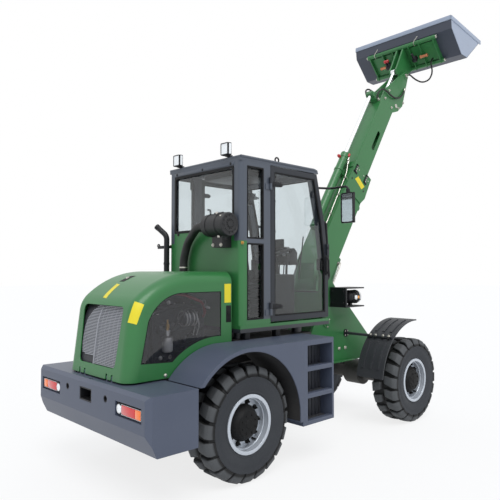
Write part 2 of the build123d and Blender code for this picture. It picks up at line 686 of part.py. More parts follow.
with BuildPart() as cab_roof:
    roof_side = (
        (CAB_REAR_X, CAB_EAVE_Z),
        (1262, CAB_EAVE_Z),
        (1250, CAB_ROOF_Z - 12),
        (1200, CAB_ROOF_Z),
        (CAB_REAR_X + 17, CAB_ROOF_Z),
        (CAB_REAR_X, CAB_ROOF_Z - 17),
    )
    plate(roof_side, -CAB_HALF, CAB_HALF)
keep(cab_roof, "cab_roof")


def pillar_x(z):
    """Station of the front pillar's face at this height."""
    for (x0, z0), (x1, z1) in zip(PILLAR_FRONT, PILLAR_FRONT[1:]):
        if z0 <= z <= z1:
            return x0 + (x1 - x0) * (z - z0) / (z1 - z0)


SCREEN_SETBACK = 20
with BuildPart() as cab_windows:
    block((CAB_REAR_X + 17, CAB_REAR_X + 17 + GLASS), *REAR_WINDOW)
    screen_line = [(pillar_x(z) - SCREEN_SETBACK, z) for z in (SCREEN_Z[0], 1893, 2300, SCREEN_Z[1])]
    plate(screen_line + shifted(screen_line, GLASS)[::-1], -SCREEN_HALF, SCREEN_HALF)
    for pane in QUARTER_PANES:
        for low, high in ((CAB_HALF - 28 - GLASS, CAB_HALF - 28), (-CAB_HALF + 28, -CAB_HALF + 28 + GLASS)):
            block(QUARTER_X, (low, high), pane)
keep(cab_windows, "cab_windows")

# Doors: steel frame with one pane, hung at the rear edge
DOOR_LINE = (
    (DOOR_REAR_X, DOOR_BOTTOM_Z),
    (1422, DOOR_BOTTOM_Z),
    (1422, 1893),
    (1364, 2300),
    (1236, DOOR_TOP_Z),
    (DOOR_REAR_X, DOOR_TOP_Z),
)
DOOR_PANE = (
    (DOOR_REAR_X + DOOR_FRAME, DOOR_BOTTOM_Z + DOOR_FRAME),
    (1422 - DOOR_FRAME, DOOR_BOTTOM_Z + DOOR_FRAME),
    (1422 - DOOR_FRAME, 1888),
    (1364 - DOOR_FRAME, 2292),
    (1249 - DOOR_FRAME, DOOR_TOP_Z - DOOR_FRAME),
    (DOOR_REAR_X + DOOR_FRAME, DOOR_TOP_Z - DOOR_FRAME),
)
HANDLE_X = (1378, 1412)
HANDLE_Z = (1960, 2080)
for hand_name, hand in (("left", 1), ("right", -1)):
    door_y = sorted((hand * DOOR_INNER, hand * CAB_HALF))
    pane_y = sorted((hand * (DOOR_INNER + 12), hand * (DOOR_INNER + 12 + GLASS)))
    leaf_y = sorted((hand * CAB_HALF, hand * (CAB_HALF + HINGE_LEAF)))
    handle_y = sorted((hand * CAB_HALF, hand * (CAB_HALF + 26)))
    with BuildPart() as door:
        plate(DOOR_LINE, *door_y)
        plate(DOOR_PANE, *door_y, mode=Mode.SUBTRACT)
        block(HANDLE_X, handle_y, HANDLE_Z)
        for height in HINGE_HEIGHTS:
            knuckle_z = (height + 0.5, height + KNUCKLE)
            block((HINGE_X, HINGE_X + HINGE_LEAF_LENGTH), leaf_y, (height + 5, height + KNUCKLE))
            post(HINGE_X, hand * HINGE_Y, knuckle_z, HINGE_RADIUS)
            post(HINGE_X, hand * HINGE_Y, knuckle_z, HINGE_PIN_RADIUS + SHAFT_FIT, Mode.SUBTRACT)
    keep(door, f"door_{hand_name}")
    with BuildPart() as door_glass:
        plate(DOOR_PANE, *pane_y)
    keep(door_glass, f"door_{hand_name}_glass")

# Seat and steering column, seen through the glass
SEAT_Z = 1700
SEAT_BLOCKS = (
    # stations, half width, heights: pedestal, cushion, backrest
    ((620, 920), 180, (CAB_FLOOR_Z, SEAT_Z)),
    ((560, 1010), 245, (SEAT_Z, SEAT_Z + 110)),
    ((470, 590), 235, (SEAT_Z + 90, SEAT_Z + 680)),
)
with BuildPart() as seat:
    for seat_x, seat_half, seat_z in SEAT_BLOCKS:
        block(seat_x, (-seat_half, seat_half), seat_z)
keep(seat, "seat")

COLUMN_TOP = (1140, 1990)
COLUMN_FOOT = (1320, CAB_FLOOR_Z + 30)
COLUMN_RADIUS = 38
HAND_WHEEL_RADIUS = 195
HAND_WHEEL_RIM = 30
HAND_WHEEL_THICK = 28
SPOKE_WIDTH = 36
PEDESTAL_X = (1240, 1365)
PEDESTAL_HALF = 90
PEDESTAL_HEIGHT = 60
with BuildPart() as steering_column:
    column_top = at(COLUMN_TOP[0], 0, COLUMN_TOP[1])
    column_foot = at(COLUMN_FOOT[0], 0, COLUMN_FOOT[1])
    bar(column_foot, column_top, COLUMN_RADIUS)
    with BuildSketch(Plane(origin=column_top, z_dir=column_top - column_foot)) as wheel_disc:
        Circle(HAND_WHEEL_RADIUS)
        Circle(HAND_WHEEL_RADIUS - HAND_WHEEL_RIM, mode=Mode.SUBTRACT)
        Rectangle(2 * HAND_WHEEL_RADIUS - HAND_WHEEL_RIM - 10, SPOKE_WIDTH)
    extrude(wheel_disc.sketch, amount=HAND_WHEEL_THICK)
    block(PEDESTAL_X, (-PEDESTAL_HALF, PEDESTAL_HALF), (CAB_FLOOR_Z, CAB_FLOOR_Z + PEDESTAL_HEIGHT))
keep(steering_column, "steering_column")

# Mirrors on bent arms from the front pillars, and the grab rails
MIRROR_X = (1452, 1480)
MIRROR_Y = (715, 875)
MIRROR_Z = (2300, 2620)
ARM_Z = 2690
with BuildPart() as mirrors:
    arm_root = pillar_x(ARM_Z) - 12
    block((arm_root, arm_root + 40), (440, 500), (ARM_Z - 30, ARM_Z + 30))
    plate([(pillar_x(ARM_Z - 40) - 60, ARM_Z - 40), (pillar_x(ARM_Z - 40), ARM_Z - 40),
           (pillar_x(ARM_Z + 40), ARM_Z + 40), (pillar_x(ARM_Z + 40) - 60, ARM_Z + 40)],
          -1000, 1000, mode=Mode.SUBTRACT)
    arm_start = at(arm_root + 35, 470, ARM_Z)
    arm_path = (arm_start, at(1466, 560, ARM_Z), at(1466, 795, ARM_Z), at(1466, 795, MIRROR_Z[1] - 1))
    pipe(arm_path, 40, 12)
    block(MIRROR_X, MIRROR_Y, MIRROR_Z)
    mirror(about=Plane.XZ)
keep(mirrors, "mirrors")

with BuildPart() as grab_rails:
    rail_path = (
        at(RAIL_FOOT_X, GRAB_Y, GRAB_TOP_Z),
        at(1470, GRAB_Y, GRAB_TOP_Z),
        at(1525, GRAB_Y, GRAB_LOW_Z),
        at(PILLAR_FRONT[0][0], GRAB_Y, GRAB_LOW_Z),
    )
    pipe(rail_path, 45, 14)
    mirror(about=Plane.XZ)
keep(grab_rails, "grab_rails")

# Work lamps on the roof's rear edge, each on a foot that reaches back from the roof
LAMP_SQUARE = (104, 115)
LAMP_BODY = 38
LAMP_MIDDLE_Y = 382
LAMP_LIFT = 13
LAMP_FOOT_HALF = 16
LAMP_FOOT_X = (CAB_REAR_X - 23, CAB_REAR_X + 47)
with BuildPart() as roof_lamps:
    lamp_y = (LAMP_MIDDLE_Y - LAMP_SQUARE[0] / 2, LAMP_MIDDLE_Y + LAMP_SQUARE[0] / 2)
    lamp_z = (CAB_ROOF_Z + LAMP_LIFT, CAB_ROOF_Z + LAMP_LIFT + LAMP_SQUARE[1])
    foot_y = (LAMP_MIDDLE_Y - LAMP_FOOT_HALF, LAMP_MIDDLE_Y + LAMP_FOOT_HALF)
    block((CAB_REAR_X - 1 - LAMP_BODY, CAB_REAR_X - 1), lamp_y, lamp_z)
    block(LAMP_FOOT_X, foot_y, (CAB_ROOF_Z, lamp_z[0] + LAMP_LIFT / 2))
    mirror(about=Plane.XZ)
keep(roof_lamps, "roof_lamps")

# Exhaust stack, air cleaner and its hose behind the cab
STACK_PLACE = (98, 548)
STACK_RADIUS = 29
STACK_BEND_Z = 2165
STACK_TIP = (50, 668, 2268)
STACK_BEND = 90
STACK_FLANGE = (44, 14)
with BuildPart() as exhaust:
    stack_foot = at(*STACK_PLACE, GUARD_TOP_Z)
    pipe((stack_foot, at(*STACK_PLACE, STACK_BEND_Z), at(*STACK_TIP)), STACK_BEND, STACK_RADIUS)
    post(*STACK_PLACE, (GUARD_TOP_Z, GUARD_TOP_Z + STACK_FLANGE[1]), STACK_FLANGE[0])
keep(exhaust, "exhaust")

CLEANER_X = 32
CLEANER_Z = 2220
CLEANER_RADIUS = 104
CLEANER_Y = (-525, -235)
CLEANER_MOUNT_Y = (-432, -285)
CLEANER_MOUNT_Z = (2012, 2150)
with BuildPart() as air_cleaner:
    bar(at(CLEANER_X, CLEANER_Y[0], CLEANER_Z), at(CLEANER_X, CLEANER_Y[1], CLEANER_Z), CLEANER_RADIUS)
    block((CLEANER_X, CAB_REAR_X), CLEANER_MOUNT_Y, CLEANER_MOUNT_Z)
keep(air_cleaner, "air_cleaner")

HOSE_ELBOW_Y = -60
HOSE_FALL = (165, 2075)
HOSE_UPRIGHT_Z = 1905
HOSE_FOOT_Z = 1400
with BuildPart() as intake_hose:
    hose_path = (
        at(CLEANER_X, CLEANER_Y[1], CLEANER_Z),
        at(CLEANER_X, HOSE_ELBOW_Y, CLEANER_Z),
        at(hose_x, *HOSE_FALL),
        at(hose_x, hose_y, HOSE_UPRIGHT_Z),
        at(hose_x, hose_y, HOSE_FOOT_Z),
        at(ENGINE_X[1], hose_y, HOSE_FOOT_Z),
    )
    pipe(hose_path, [190, 220, 220, 90], HOSE_RADIUS)
keep(intake_hose, "intake_hose")

# Front frame: two plates joined by cross plates, with the boom tower on top
FRAME_LINE = (
    (1560, 700),
    (WHEELBASE + 136, 700),
    (WHEELBASE + 136, 830),
    (WHEELBASE - 54, 1014),
    (WHEELBASE - 402, 1341),
    (2060, 1560),
    (1900, 1740),
    (1800, 1775),
    (1690, 1740),
    (1660, 1600),
    (1640, 1200),
    (1560, 1050),
)
FRAME_FOOT_Z = FRAME_LINE[0][1]
CROSS_X = (1600, 1625)
LIFT_PIN_RADIUS = 25
with BuildPart() as front_frame:
    for low, high in ((PLATE_INNER, PLATE_OUTER), (-PLATE_OUTER, -PLATE_INNER)):
        plate(FRAME_LINE, low, high)
    block(CROSS_X, (-PLATE_INNER, PLATE_INNER), (HINGE_EARS[0][1] + SEAT, 1050))
    block((CROSS_X[1], WHEELBASE - 294), (-PLATE_INNER, PLATE_INNER), (FRAME_FOOT_Z, FRAME_FOOT_Z + 15))
    for low in (HINGE_EARS[0][1] + SEAT, HINGE_EARS[1][0] - SEAT - 40):
        block((STEER_X, CROSS_X[0]), (-EAR_RADIUS, EAR_RADIUS), (low, low + 40))
        post(STEER_X, 0, (low, low + 40), EAR_RADIUS)
        post(STEER_X, 0, (low, low + 40), STEER_PIN_RADIUS + SHAFT_FIT, Mode.SUBTRACT)
    boss(BOOM_PIVOT, BOOM_PIN_RADIUS, -PLATE_OUTER, PLATE_OUTER)
    boss(LIFT_BASE, LIFT_PIN_RADIUS, -PLATE_OUTER, PLATE_OUTER)
    for low, high in ((STEER_Z - 70, STEER_Z - 46), (STEER_Z + 46, STEER_Z + 70)):
        block((STEER_EYE[0] - 35, STEER_EYE[0] + 45), (STEER_EYE[1] - 40, -PLATE_OUTER), (low, high))
keep(front_frame, "front_frame")

# Front mudguards: curved sheet held by a bar from the frame plate
FRONT_GUARD_RADIUS = 708
FRONT_GUARD_SHEET = 14
FRONT_GUARD_ARC = (88, 84)
FRONT_GUARD_Y = (505, 850)
GUARD_BAR_ANGLE = 132
FRONT_RIBS_Y = (575, 675, 775)
FRONT_RIB_ARCS = ((99, 26), (138, 26))
FRONT_RIB_HALF = 16
FRONT_RIB_RISE = 9
GUARD_BAR_RADIUS = 16
with BuildPart() as front_mudguards:
    outer = FRONT_GUARD_RADIUS + FRONT_GUARD_SHEET
    middle = (WHEELBASE, AXLE_Z)
    with BuildSketch(side(FRONT_GUARD_Y[1])):
        with BuildLine():
            over = CenterArc(middle, outer, *FRONT_GUARD_ARC)
            under = CenterArc(middle, FRONT_GUARD_RADIUS, *FRONT_GUARD_ARC)
            Line(over @ 0, under @ 0)
            Line(over @ 1, under @ 1)
        make_face()
    extrude(amount=FRONT_GUARD_Y[1] - FRONT_GUARD_Y[0])
    for rib_y in FRONT_RIBS_Y:
        for rib_start, rib_sweep in FRONT_RIB_ARCS:
            with BuildSketch(side(rib_y + FRONT_RIB_HALF)) as rib:
                with BuildLine():
                    crest = CenterArc(middle, outer + FRONT_RIB_RISE, rib_start, rib_sweep)
                    root = CenterArc(middle, outer - 1, rib_start, rib_sweep)
                    Line(crest @ 0, root @ 0)
                    Line(crest @ 1, root @ 1)
                make_face()
            extrude(rib.sketch, amount=2 * FRONT_RIB_HALF)
    reach = outer + GUARD_BAR_RADIUS - 4
    bar_x = WHEELBASE + reach * cos(radians(GUARD_BAR_ANGLE))
    bar_z = AXLE_Z + reach * sin(radians(GUARD_BAR_ANGLE))
    bar(at(bar_x, PLATE_OUTER, bar_z), at(bar_x, FRONT_GUARD_Y[1] - 10, bar_z), GUARD_BAR_RADIUS)
    mirror(about=Plane.XZ)
keep(front_mudguards, "front_mudguards")

# Headlights in open brackets on the frame plates
BRACKET_X = (1905, 2270)
BRACKET_Y = (205, 430)
BRACKET_Z = (1370, 1600)
BRACKET_SHEET = 15
BRACKET_BACK = 20
HEADLAMP_X = (2080, 2250)
HEADLAMP_RADIUS = 78
HEADLAMP_FOOT_X = (2120, 2160)
HEADLAMP_FOOT_HALF = 18
with BuildPart() as headlights:
    bracket_low = (BRACKET_Z[0], BRACKET_Z[0] + BRACKET_SHEET)
    bracket_top = (BRACKET_Z[1] - BRACKET_SHEET, BRACKET_Z[1])
    lamp_middle = (sum(BRACKET_Y) / 2, sum(BRACKET_Z) / 2)
    lamp_foot_y = (lamp_middle[0] - HEADLAMP_FOOT_HALF, lamp_middle[0] + HEADLAMP_FOOT_HALF)
    block(BRACKET_X, (PLATE_OUTER, BRACKET_Y[1]), bracket_low)
    block((BRACKET_X[0], BRACKET_X[0] + BRACKET_BACK), BRACKET_Y, (bracket_low[1], BRACKET_Z[1]))
    block(BRACKET_X, BRACKET_Y, bracket_top)
    bar(at(HEADLAMP_X[0], *lamp_middle), at(HEADLAMP_X[1], *lamp_middle), HEADLAMP_RADIUS)
    block(HEADLAMP_FOOT_X, lamp_foot_y, (bracket_low[1], lamp_middle[1]))
    mirror(about=Plane.XZ)
keep(headlights, "headlights")

# Outer boom: box tube on its pivot, with a collar of wear pads at the mouth
MOUTH = 90
COLLAR = 10
CHEEK = 420
CHEEK_DROP = 31
CAVITY_START = 230
with BuildPart() as outer_boom:
    boom_line = ((-40, OUTER_LOW), (OUTER_END, OUTER_LOW), (OUTER_END, OUTER_TOP), (150, OUTER_TOP), (-100, 100))
    plate(boom_line, -OUTER_HALF, OUTER_HALF, boom_side)
    boss((0, 0), 140, -OUTER_HALF, OUTER_HALF, boom_side)
    mouth_ring = (
        (OUTER_END - MOUTH, OUTER_LOW - COLLAR),
        (OUTER_END, OUTER_LOW - COLLAR),
        (OUTER_END, OUTER_TOP + COLLAR),
        (OUTER_END - MOUTH, OUTER_TOP + COLLAR),
    )
    plate(mouth_ring, -OUTER_HALF - COLLAR, OUTER_HALF + COLLAR, boom_side)
    cheek_line = (
        (OUTER_END - CHEEK, OUTER_LOW + 14),
        (OUTER_END - CHEEK + 112, OUTER_LOW - CHEEK_DROP),
        (OUTER_END, OUTER_LOW - COLLAR),
        (OUTER_END, OUTER_TOP + COLLAR),
        (OUTER_END - CHEEK, OUTER_TOP + COLLAR),
    )
    for low, high in ((OUTER_HALF, OUTER_HALF + COLLAR), (-OUTER_HALF - COLLAR, -OUTER_HALF)):
        plate(cheek_line, low, high, boom_side)
    cavity_line = (
        (CAVITY_START, OUTER_LOW + OUTER_WALL),
        (OUTER_END - MOUTH, OUTER_LOW + OUTER_WALL),
        (OUTER_END - MOUTH, OUTER_TOP - OUTER_WALL),
        (CAVITY_START, OUTER_TOP - OUTER_WALL),
    )
    plate(cavity_line, -OUTER_HALF + OUTER_WALL, OUTER_HALF - OUTER_WALL, boom_side, Mode.SUBTRACT)
    mouth_line = (
        (OUTER_END - MOUTH, INNER_LOW - SLIDE_GAP),
        (OUTER_END, INNER_LOW - SLIDE_GAP),
        (OUTER_END, INNER_TOP + SLIDE_GAP),
        (OUTER_END - MOUTH, INNER_TOP + SLIDE_GAP),
    )
    plate(mouth_line, -INNER_HALF - SLIDE_GAP, INNER_HALF + SLIDE_GAP, boom_side, Mode.SUBTRACT)
    boss((0, 0), BOOM_PIN_RADIUS + SHAFT_FIT, -OUTER_HALF, OUTER_HALF, boom_side, Mode.SUBTRACT)
    ear_u, ear_w = LIFT_PIN
    ear_line = ((ear_u - 110, OUTER_LOW), (ear_u + 110, OUTER_LOW), (ear_u + 45, ear_w), (ear_u - 45, ear_w))
    for low, high in ((EYE_HALF + 6, EYE_HALF + 28), (-EYE_HALF - 28, -EYE_HALF - 6)):
        plate(ear_line, low, high, boom_side)
        boss(LIFT_PIN, EYE_RADIUS - 5, low, high, boom_side)
keep(outer_boom, "outer_boom")

# Inner boom: box tube with rear pads, an end wall and the head plates of the coupler
PAD_LENGTH = 70
END_WALL = 42
HEAD_LINE = (
    (INNER_END - 12, 190),
    (3067, 190),
    (3660, -30),
    (3660, -150),
    (3187, -260),
    (3034, -210),
    (INNER_END - 12, -95),
)
HEAD_TUBE = (3060, -130)
HEAD_TUBE_RADIUS = 34
TELE_EAR = (2838, 2888)
ACCESS_SLOT = (2278, -2)
ACCESS_SIZE = (320, 64)
with BuildPart() as inner_boom:
    tube_line = ((INNER_START, INNER_LOW), (INNER_END, INNER_LOW), (INNER_END, INNER_TOP), (INNER_START, INNER_TOP))
    plate(tube_line, -INNER_HALF, INNER_HALF, boom_side)
    pad_low = OUTER_LOW + OUTER_WALL + SLIDE_GAP
    pad_top = OUTER_TOP - OUTER_WALL - SLIDE_GAP
    pad_half = OUTER_HALF - OUTER_WALL - SLIDE_GAP
    pad_line = (
        (INNER_START, pad_low),
        (INNER_START + PAD_LENGTH, pad_low),
        (INNER_START + PAD_LENGTH, pad_top),
        (INNER_START, pad_top),
    )
    plate(pad_line, -pad_half, pad_half, boom_side)
    hollow_line = (
        (INNER_START, INNER_LOW + INNER_WALL),
        (INNER_END - END_WALL, INNER_LOW + INNER_WALL),
        (INNER_END - END_WALL, INNER_TOP - INNER_WALL),
        (INNER_START, INNER_TOP - INNER_WALL),
    )
    plate(hollow_line, -INNER_HALF + INNER_WALL, INNER_HALF - INNER_WALL, boom_side, Mode.SUBTRACT)
    bar(on_boom(INNER_END - END_WALL, TILT_PIN[1]), on_boom(INNER_END, TILT_PIN[1]), TILT_ROD_RADIUS + SHAFT_FIT,
        Mode.SUBTRACT)
    with BuildSketch(boom_side(INNER_HALF)) as access:
        with Locations(ACCESS_SLOT):
            SlotOverall(*ACCESS_SIZE)
    extrude(access.sketch, amount=2 * INNER_HALF, mode=Mode.SUBTRACT)
    for low, high in ((HEAD_INNER, HEAD_OUTER), (-HEAD_OUTER, -HEAD_INNER)):
        plate(HEAD_LINE, low, high, boom_side)
        boss(TILT_PIVOT, 66, low, high, boom_side)
        boss(TILT_PIVOT, PIVOT_PIN_RADIUS + SHAFT_FIT, low, high, boom_side, Mode.SUBTRACT)
    boss(HEAD_TUBE, HEAD_TUBE_RADIUS, -HEAD_INNER, HEAD_INNER, boom_side)
    tele_ear = (
        (TELE_EAR[0], INNER_TOP),
        (TELE_EAR[1], INNER_TOP),
        (TELE_EAR[1], TELE_AXIS + 45),
        (TELE_EAR[0], TELE_AXIS + 45),
    )
    plate(tele_ear, -45, 45, boom_side)
keep(inner_boom, "inner_boom")

# Extension cylinder on top of the boom
SADDLES = ((650, 710), (1480, 1540))
TELE_ROD_START = 1650
with BuildPart() as tele_barrel:
    bar(on_boom(TELE_BARREL[0], TELE_AXIS), on_boom(TELE_BARREL[1], TELE_AXIS), TELE_BARREL_RADIUS)
    for low, high in SADDLES:
        saddle = ((low, OUTER_TOP), (high, OUTER_TOP), (high, TELE_AXIS), (low, TELE_AXIS))
        plate(saddle, -40, 40, boom_side)
    bore_start = on_boom(TELE_BARREL[0] + 30, TELE_AXIS)
    bar(bore_start, on_boom(TELE_BARREL[1], TELE_AXIS), TELE_ROD_RADIUS + SHAFT_FIT, Mode.SUBTRACT)
keep(tele_barrel, "tele_barrel")

with BuildPart() as tele_rod:
    bar(on_boom(TELE_ROD_START, TELE_AXIS), on_boom(TELE_EAR[0], TELE_AXIS), TELE_ROD_RADIUS)
keep(tele_rod, "tele_rod")

# Lift cylinder under the boom
lift_foot = at(LIFT_BASE[0], 0, LIFT_BASE[1])
lift_head = on_boom(*LIFT_PIN)
lift_run = lift_head - lift_foot
lift_way = lift_run.normalized()
LIFT_BORE_START = 110
LIFT_ROD_START = 800
with BuildPart() as lift_barrel:
    boss(LIFT_BASE, EYE_RADIUS, -EYE_HALF, EYE_HALF)
    bar(lift_foot + lift_way * 40, lift_foot + lift_way * LIFT_BARREL_LENGTH, LIFT_BARREL_RADIUS)
    bore = LIFT_ROD_RADIUS + SHAFT_FIT
    bar(lift_foot + lift_way * LIFT_BORE_START, lift_foot + lift_way * LIFT_BARREL_LENGTH, bore, Mode.SUBTRACT)
    boss(LIFT_BASE, LIFT_PIN_RADIUS + SHAFT_FIT, -LIFT_BARREL_RADIUS, LIFT_BARREL_RADIUS, mode=Mode.SUBTRACT)
keep(lift_barrel, "lift_barrel")

with BuildPart() as lift_rod:
    bar(lift_foot + lift_way * LIFT_ROD_START, lift_head, LIFT_ROD_RADIUS)
    boss(LIFT_PIN, EYE_RADIUS - 8, -EYE_HALF, EYE_HALF, boom_side)
    boss(LIFT_PIN, LIFT_PIN_RADIUS, -EYE_HALF, EYE_HALF, boom_side, Mode.SUBTRACT)
keep(lift_rod, "lift_rod")

# Tilt rod out of the inner boom to the coupler's lever
TILT_ROD_START = 2700
TILT_EYE_HALF = 30
with BuildPart() as tilt_rod:
    bar(on_boom(TILT_ROD_START, TILT_PIN[1]), on_boom(*TILT_PIN), TILT_ROD_RADIUS)
    boss(TILT_PIN, 40, -TILT_EYE_HALF, TILT_EYE_HALF, boom_side)
    boss(TILT_PIN, 18, -TILT_EYE_HALF, TILT_EYE_HALF, boom_side, Mode.SUBTRACT)
keep(tilt_rod, "tilt_rod")


def bucket_back(w):
    """Place along the boom of the bucket's back plate at this height."""
    (u0, w0), (u1, w1) = BUCKET_PROFILE[2], BUCKET_PROFILE[1]
    return u0 + (u1 - u0) * (w - w0) / (w1 - w0)


# Quick coupler: lever plates on the head pin, ribs and bars against the bucket's back
EAR_PLATES = ((TILT_EYE_HALF + 6, TILT_EYE_HALF + 32), (-TILT_EYE_HALF - 32, -TILT_EYE_HALF - 6))
RIB_TOP = 140
RIB_LOW = -235
RIB_DEPTH = 85
LEVER_LINE = (
    (3590, -130),
    (3540, 60),
    (3577, 112),
    (3650, 110),
    (bucket_back(RIB_TOP) - 20, RIB_TOP),
    (bucket_back(RIB_LOW) - 20, RIB_LOW),
    (3690, -145),
)
RIB_LINE = (
    (bucket_back(RIB_TOP) - RIB_DEPTH, RIB_TOP),
    (bucket_back(RIB_LOW) - RIB_DEPTH, RIB_LOW),
    (bucket_back(RIB_LOW), RIB_LOW),
    (bucket_back(RIB_TOP), RIB_TOP),
)
CROSS_SETBACK = 40
CROSS_THICK = 14
CROSS_LINE = (
    (bucket_back(90) - CROSS_SETBACK, 90),
    (bucket_back(-190) - CROSS_SETBACK, -190),
    (bucket_back(-190) - CROSS_SETBACK + CROSS_THICK, -190),
    (bucket_back(90) - CROSS_SETBACK + CROSS_THICK, 90),
)
with BuildPart() as coupler:
    for low, high in EAR_PLATES:
        plate(LEVER_LINE, low, high, boom_side)
    boss(TILT_PIVOT, PIVOT_PIN_RADIUS, -HEAD_OUTER - 6, HEAD_OUTER + 6, boom_side)
    for rib_y in COUPLER_RIBS:
        for hand in (-1, 1):
            plate(RIB_LINE, hand * rib_y - RIB_HALF, hand * rib_y + RIB_HALF, boom_side)
    plate(CROSS_LINE, -COUPLER_RIBS[-1], COUPLER_RIBS[-1], boom_side)
    boss((bucket_back(RIB_TOP) - 45, RIB_TOP - 5), 30, -COUPLER_HALF, COUPLER_HALF, boom_side)
    boss((bucket_back(RIB_LOW) - 45, RIB_LOW + 15), 30, -COUPLER_HALF, COUPLER_HALF, boom_side)
keep(coupler, "coupler")


def inset_line(points, inset):
    """Open outline moved sideways by inset, mitred at its corners."""
    normals = []
    for (u0, w0), (u1, w1) in zip(points, points[1:]):
        run = hypot(u1 - u0, w1 - w0)
        normals.append((-(w1 - w0) / run, (u1 - u0) / run))
    moved = []
    for index, (u, w) in enumerate(points):
        before = normals[max(index - 1, 0)]
        after = normals[min(index, len(normals) - 1)]
        scale = inset / (1 + before[0] * after[0] + before[1] * after[1])
        moved.append((u + (before[0] + after[0]) * scale, w + (before[1] + after[1]) * scale))
    return moved


with BuildPart() as bucket:
    shell = list(BUCKET_PROFILE) + inset_line(BUCKET_PROFILE, BUCKET_WALL)[::-1]
    plate(shell, -BUCKET_HALF, BUCKET_HALF, boom_side)
    for low, high in ((BUCKET_HALF - BUCKET_WALL, BUCKET_HALF), (-BUCKET_HALF, -BUCKET_HALF + BUCKET_WALL)):
        plate(BUCKET_PROFILE, low, high, boom_side)
keep(bucket, "bucket")

# Hydraulic hoses at the boom's head, stiff loops held at both ends
HOSE_BORE = 11


def hose(points):
    """Hose through these places on the boom, with arcs as wide as their runs allow."""
    route = [on_boom(*place) for place in points]
    radii = []
    for before, bend, after in zip(route, route[1:], route[2:]):
        turn = radians((bend - before).get_angle(after - bend))
        shorter = min((bend - before).length, (after - bend).length)
        radii.append(0.45 * shorter / tan(turn / 2))
    pipe(route, radii, HOSE_BORE)


CROSS_HOSE_Y = -HEAD_OUTER - 2 * HOSE_BORE
CROSS_HOSE = (
    # along the boom, height, y
    (2860, INNER_TOP, -70),
    (2860, 255, -70),
    (2935, 285, -88),
    (3012, 258, CROSS_HOSE_Y + 12),
    (3050, 170, CROSS_HOSE_Y),
    (3068, 60, CROSS_HOSE_Y - 3),
    (3122, -44, CROSS_HOSE_Y),
    (3215, -124, CROSS_HOSE_Y + 3),
    (3330, -160, CROSS_HOSE_Y + 4),
    (3434, -163, CROSS_HOSE_Y + 6),
)
LOOP_HOSE_Y = (HEAD_INNER + HEAD_OUTER) / 2
LOOP_HOSE = (
    (2870, INNER_TOP, 72),
    (2870, 262, 72),
    (2903, 322, 90),
    (2965, 342, 102),
    (3020, 305, 98),
    (3040, 245, LOOP_HOSE_Y),
    (3040, HEAD_LINE[0][1], LOOP_HOSE_Y),
)
with BuildPart() as boom_hoses:
    hose(CROSS_HOSE)
    hose(LOOP_HOSE)
keep(boom_hoses, "boom_hoses")

TILT_HOSE_Y = -HEAD_OUTER - 6
TILT_HOSE_END_W = -160
TILT_HOSE_LEAD = 90
back_u, back_w = (high - low for low, high in zip(BUCKET_PROFILE[2], BUCKET_PROFILE[1]))
back_length = hypot(back_u, back_w)
hose_end = (bucket_back(TILT_HOSE_END_W) - CROSS_SETBACK, TILT_HOSE_END_W)
hose_lead = (hose_end[0] - TILT_HOSE_LEAD * back_w / back_length, hose_end[1] + TILT_HOSE_LEAD * back_u / back_length)
TILT_HOSE = (
    (TILT_PIVOT[0], TILT_PIVOT[1], TILT_HOSE_Y),
    (TILT_PIVOT[0], TILT_PIVOT[1], TILT_HOSE_Y - 60),
    (TILT_PIVOT[0] - 20, TILT_PIVOT[1] - 90, TILT_HOSE_Y - 105),
    (TILT_PIVOT[0] - 20, TILT_PIVOT[1] - 180, TILT_HOSE_Y - 175),
    (TILT_PIVOT[0] + 50, TILT_PIVOT[1] - 222, TILT_HOSE_Y - 250),
    (TILT_PIVOT[0] + 150, TILT_PIVOT[1] - 180, TILT_HOSE_Y - 295),
    (*hose_lead, TILT_HOSE_Y - 300),
    (*hose_end, TILT_HOSE_Y - 300),
)
with BuildPart() as coupler_hose:
    hose(TILT_HOSE)
keep(coupler_hose, "coupler_hose")

# Steering cylinder between the frames
steer_foot = at(*STEER_BASE, STEER_Z)
steer_head = at(*STEER_EYE, STEER_Z)
steer_way = (steer_head - steer_foot).normalized()
STEER_BORE_START = 60
STEER_ROD_START = 265
STEER_EYE_RADIUS = 34
with BuildPart() as steer_barrel:
    post(*STEER_BASE, (STEER_Z - 38, STEER_Z + 38), STEER_EYE_RADIUS)
    bar(steer_foot + steer_way * 20, steer_foot + steer_way * STEER_BARREL_LENGTH, STEER_BARREL_RADIUS)
    bar(steer_foot + steer_way * STEER_BORE_START, steer_foot + steer_way * STEER_BARREL_LENGTH,
        STEER_ROD_RADIUS + SHAFT_FIT, Mode.SUBTRACT)
    post(*STEER_BASE, (STEER_Z - 40, STEER_Z + 40), 18 + SHAFT_FIT, Mode.SUBTRACT)
keep(steer_barrel, "steer_barrel")

with BuildPart() as steer_rod:
    bar(steer_foot + steer_way * STEER_ROD_START, steer_head, STEER_ROD_RADIUS)
    post(*STEER_EYE, (STEER_Z - 36, STEER_Z + 36), STEER_EYE_RADIUS)
    post(*STEER_EYE, (STEER_Z - 36, STEER_Z + 36), 18, Mode.SUBTRACT)
keep(steer_rod, "steer_rod")

os.makedirs("parts", exist_ok=True)
for part in made:
    export_step(part, f"parts/{part.label}.step")
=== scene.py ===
"""Looks of an articulated telescopic loader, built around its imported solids."""

import math

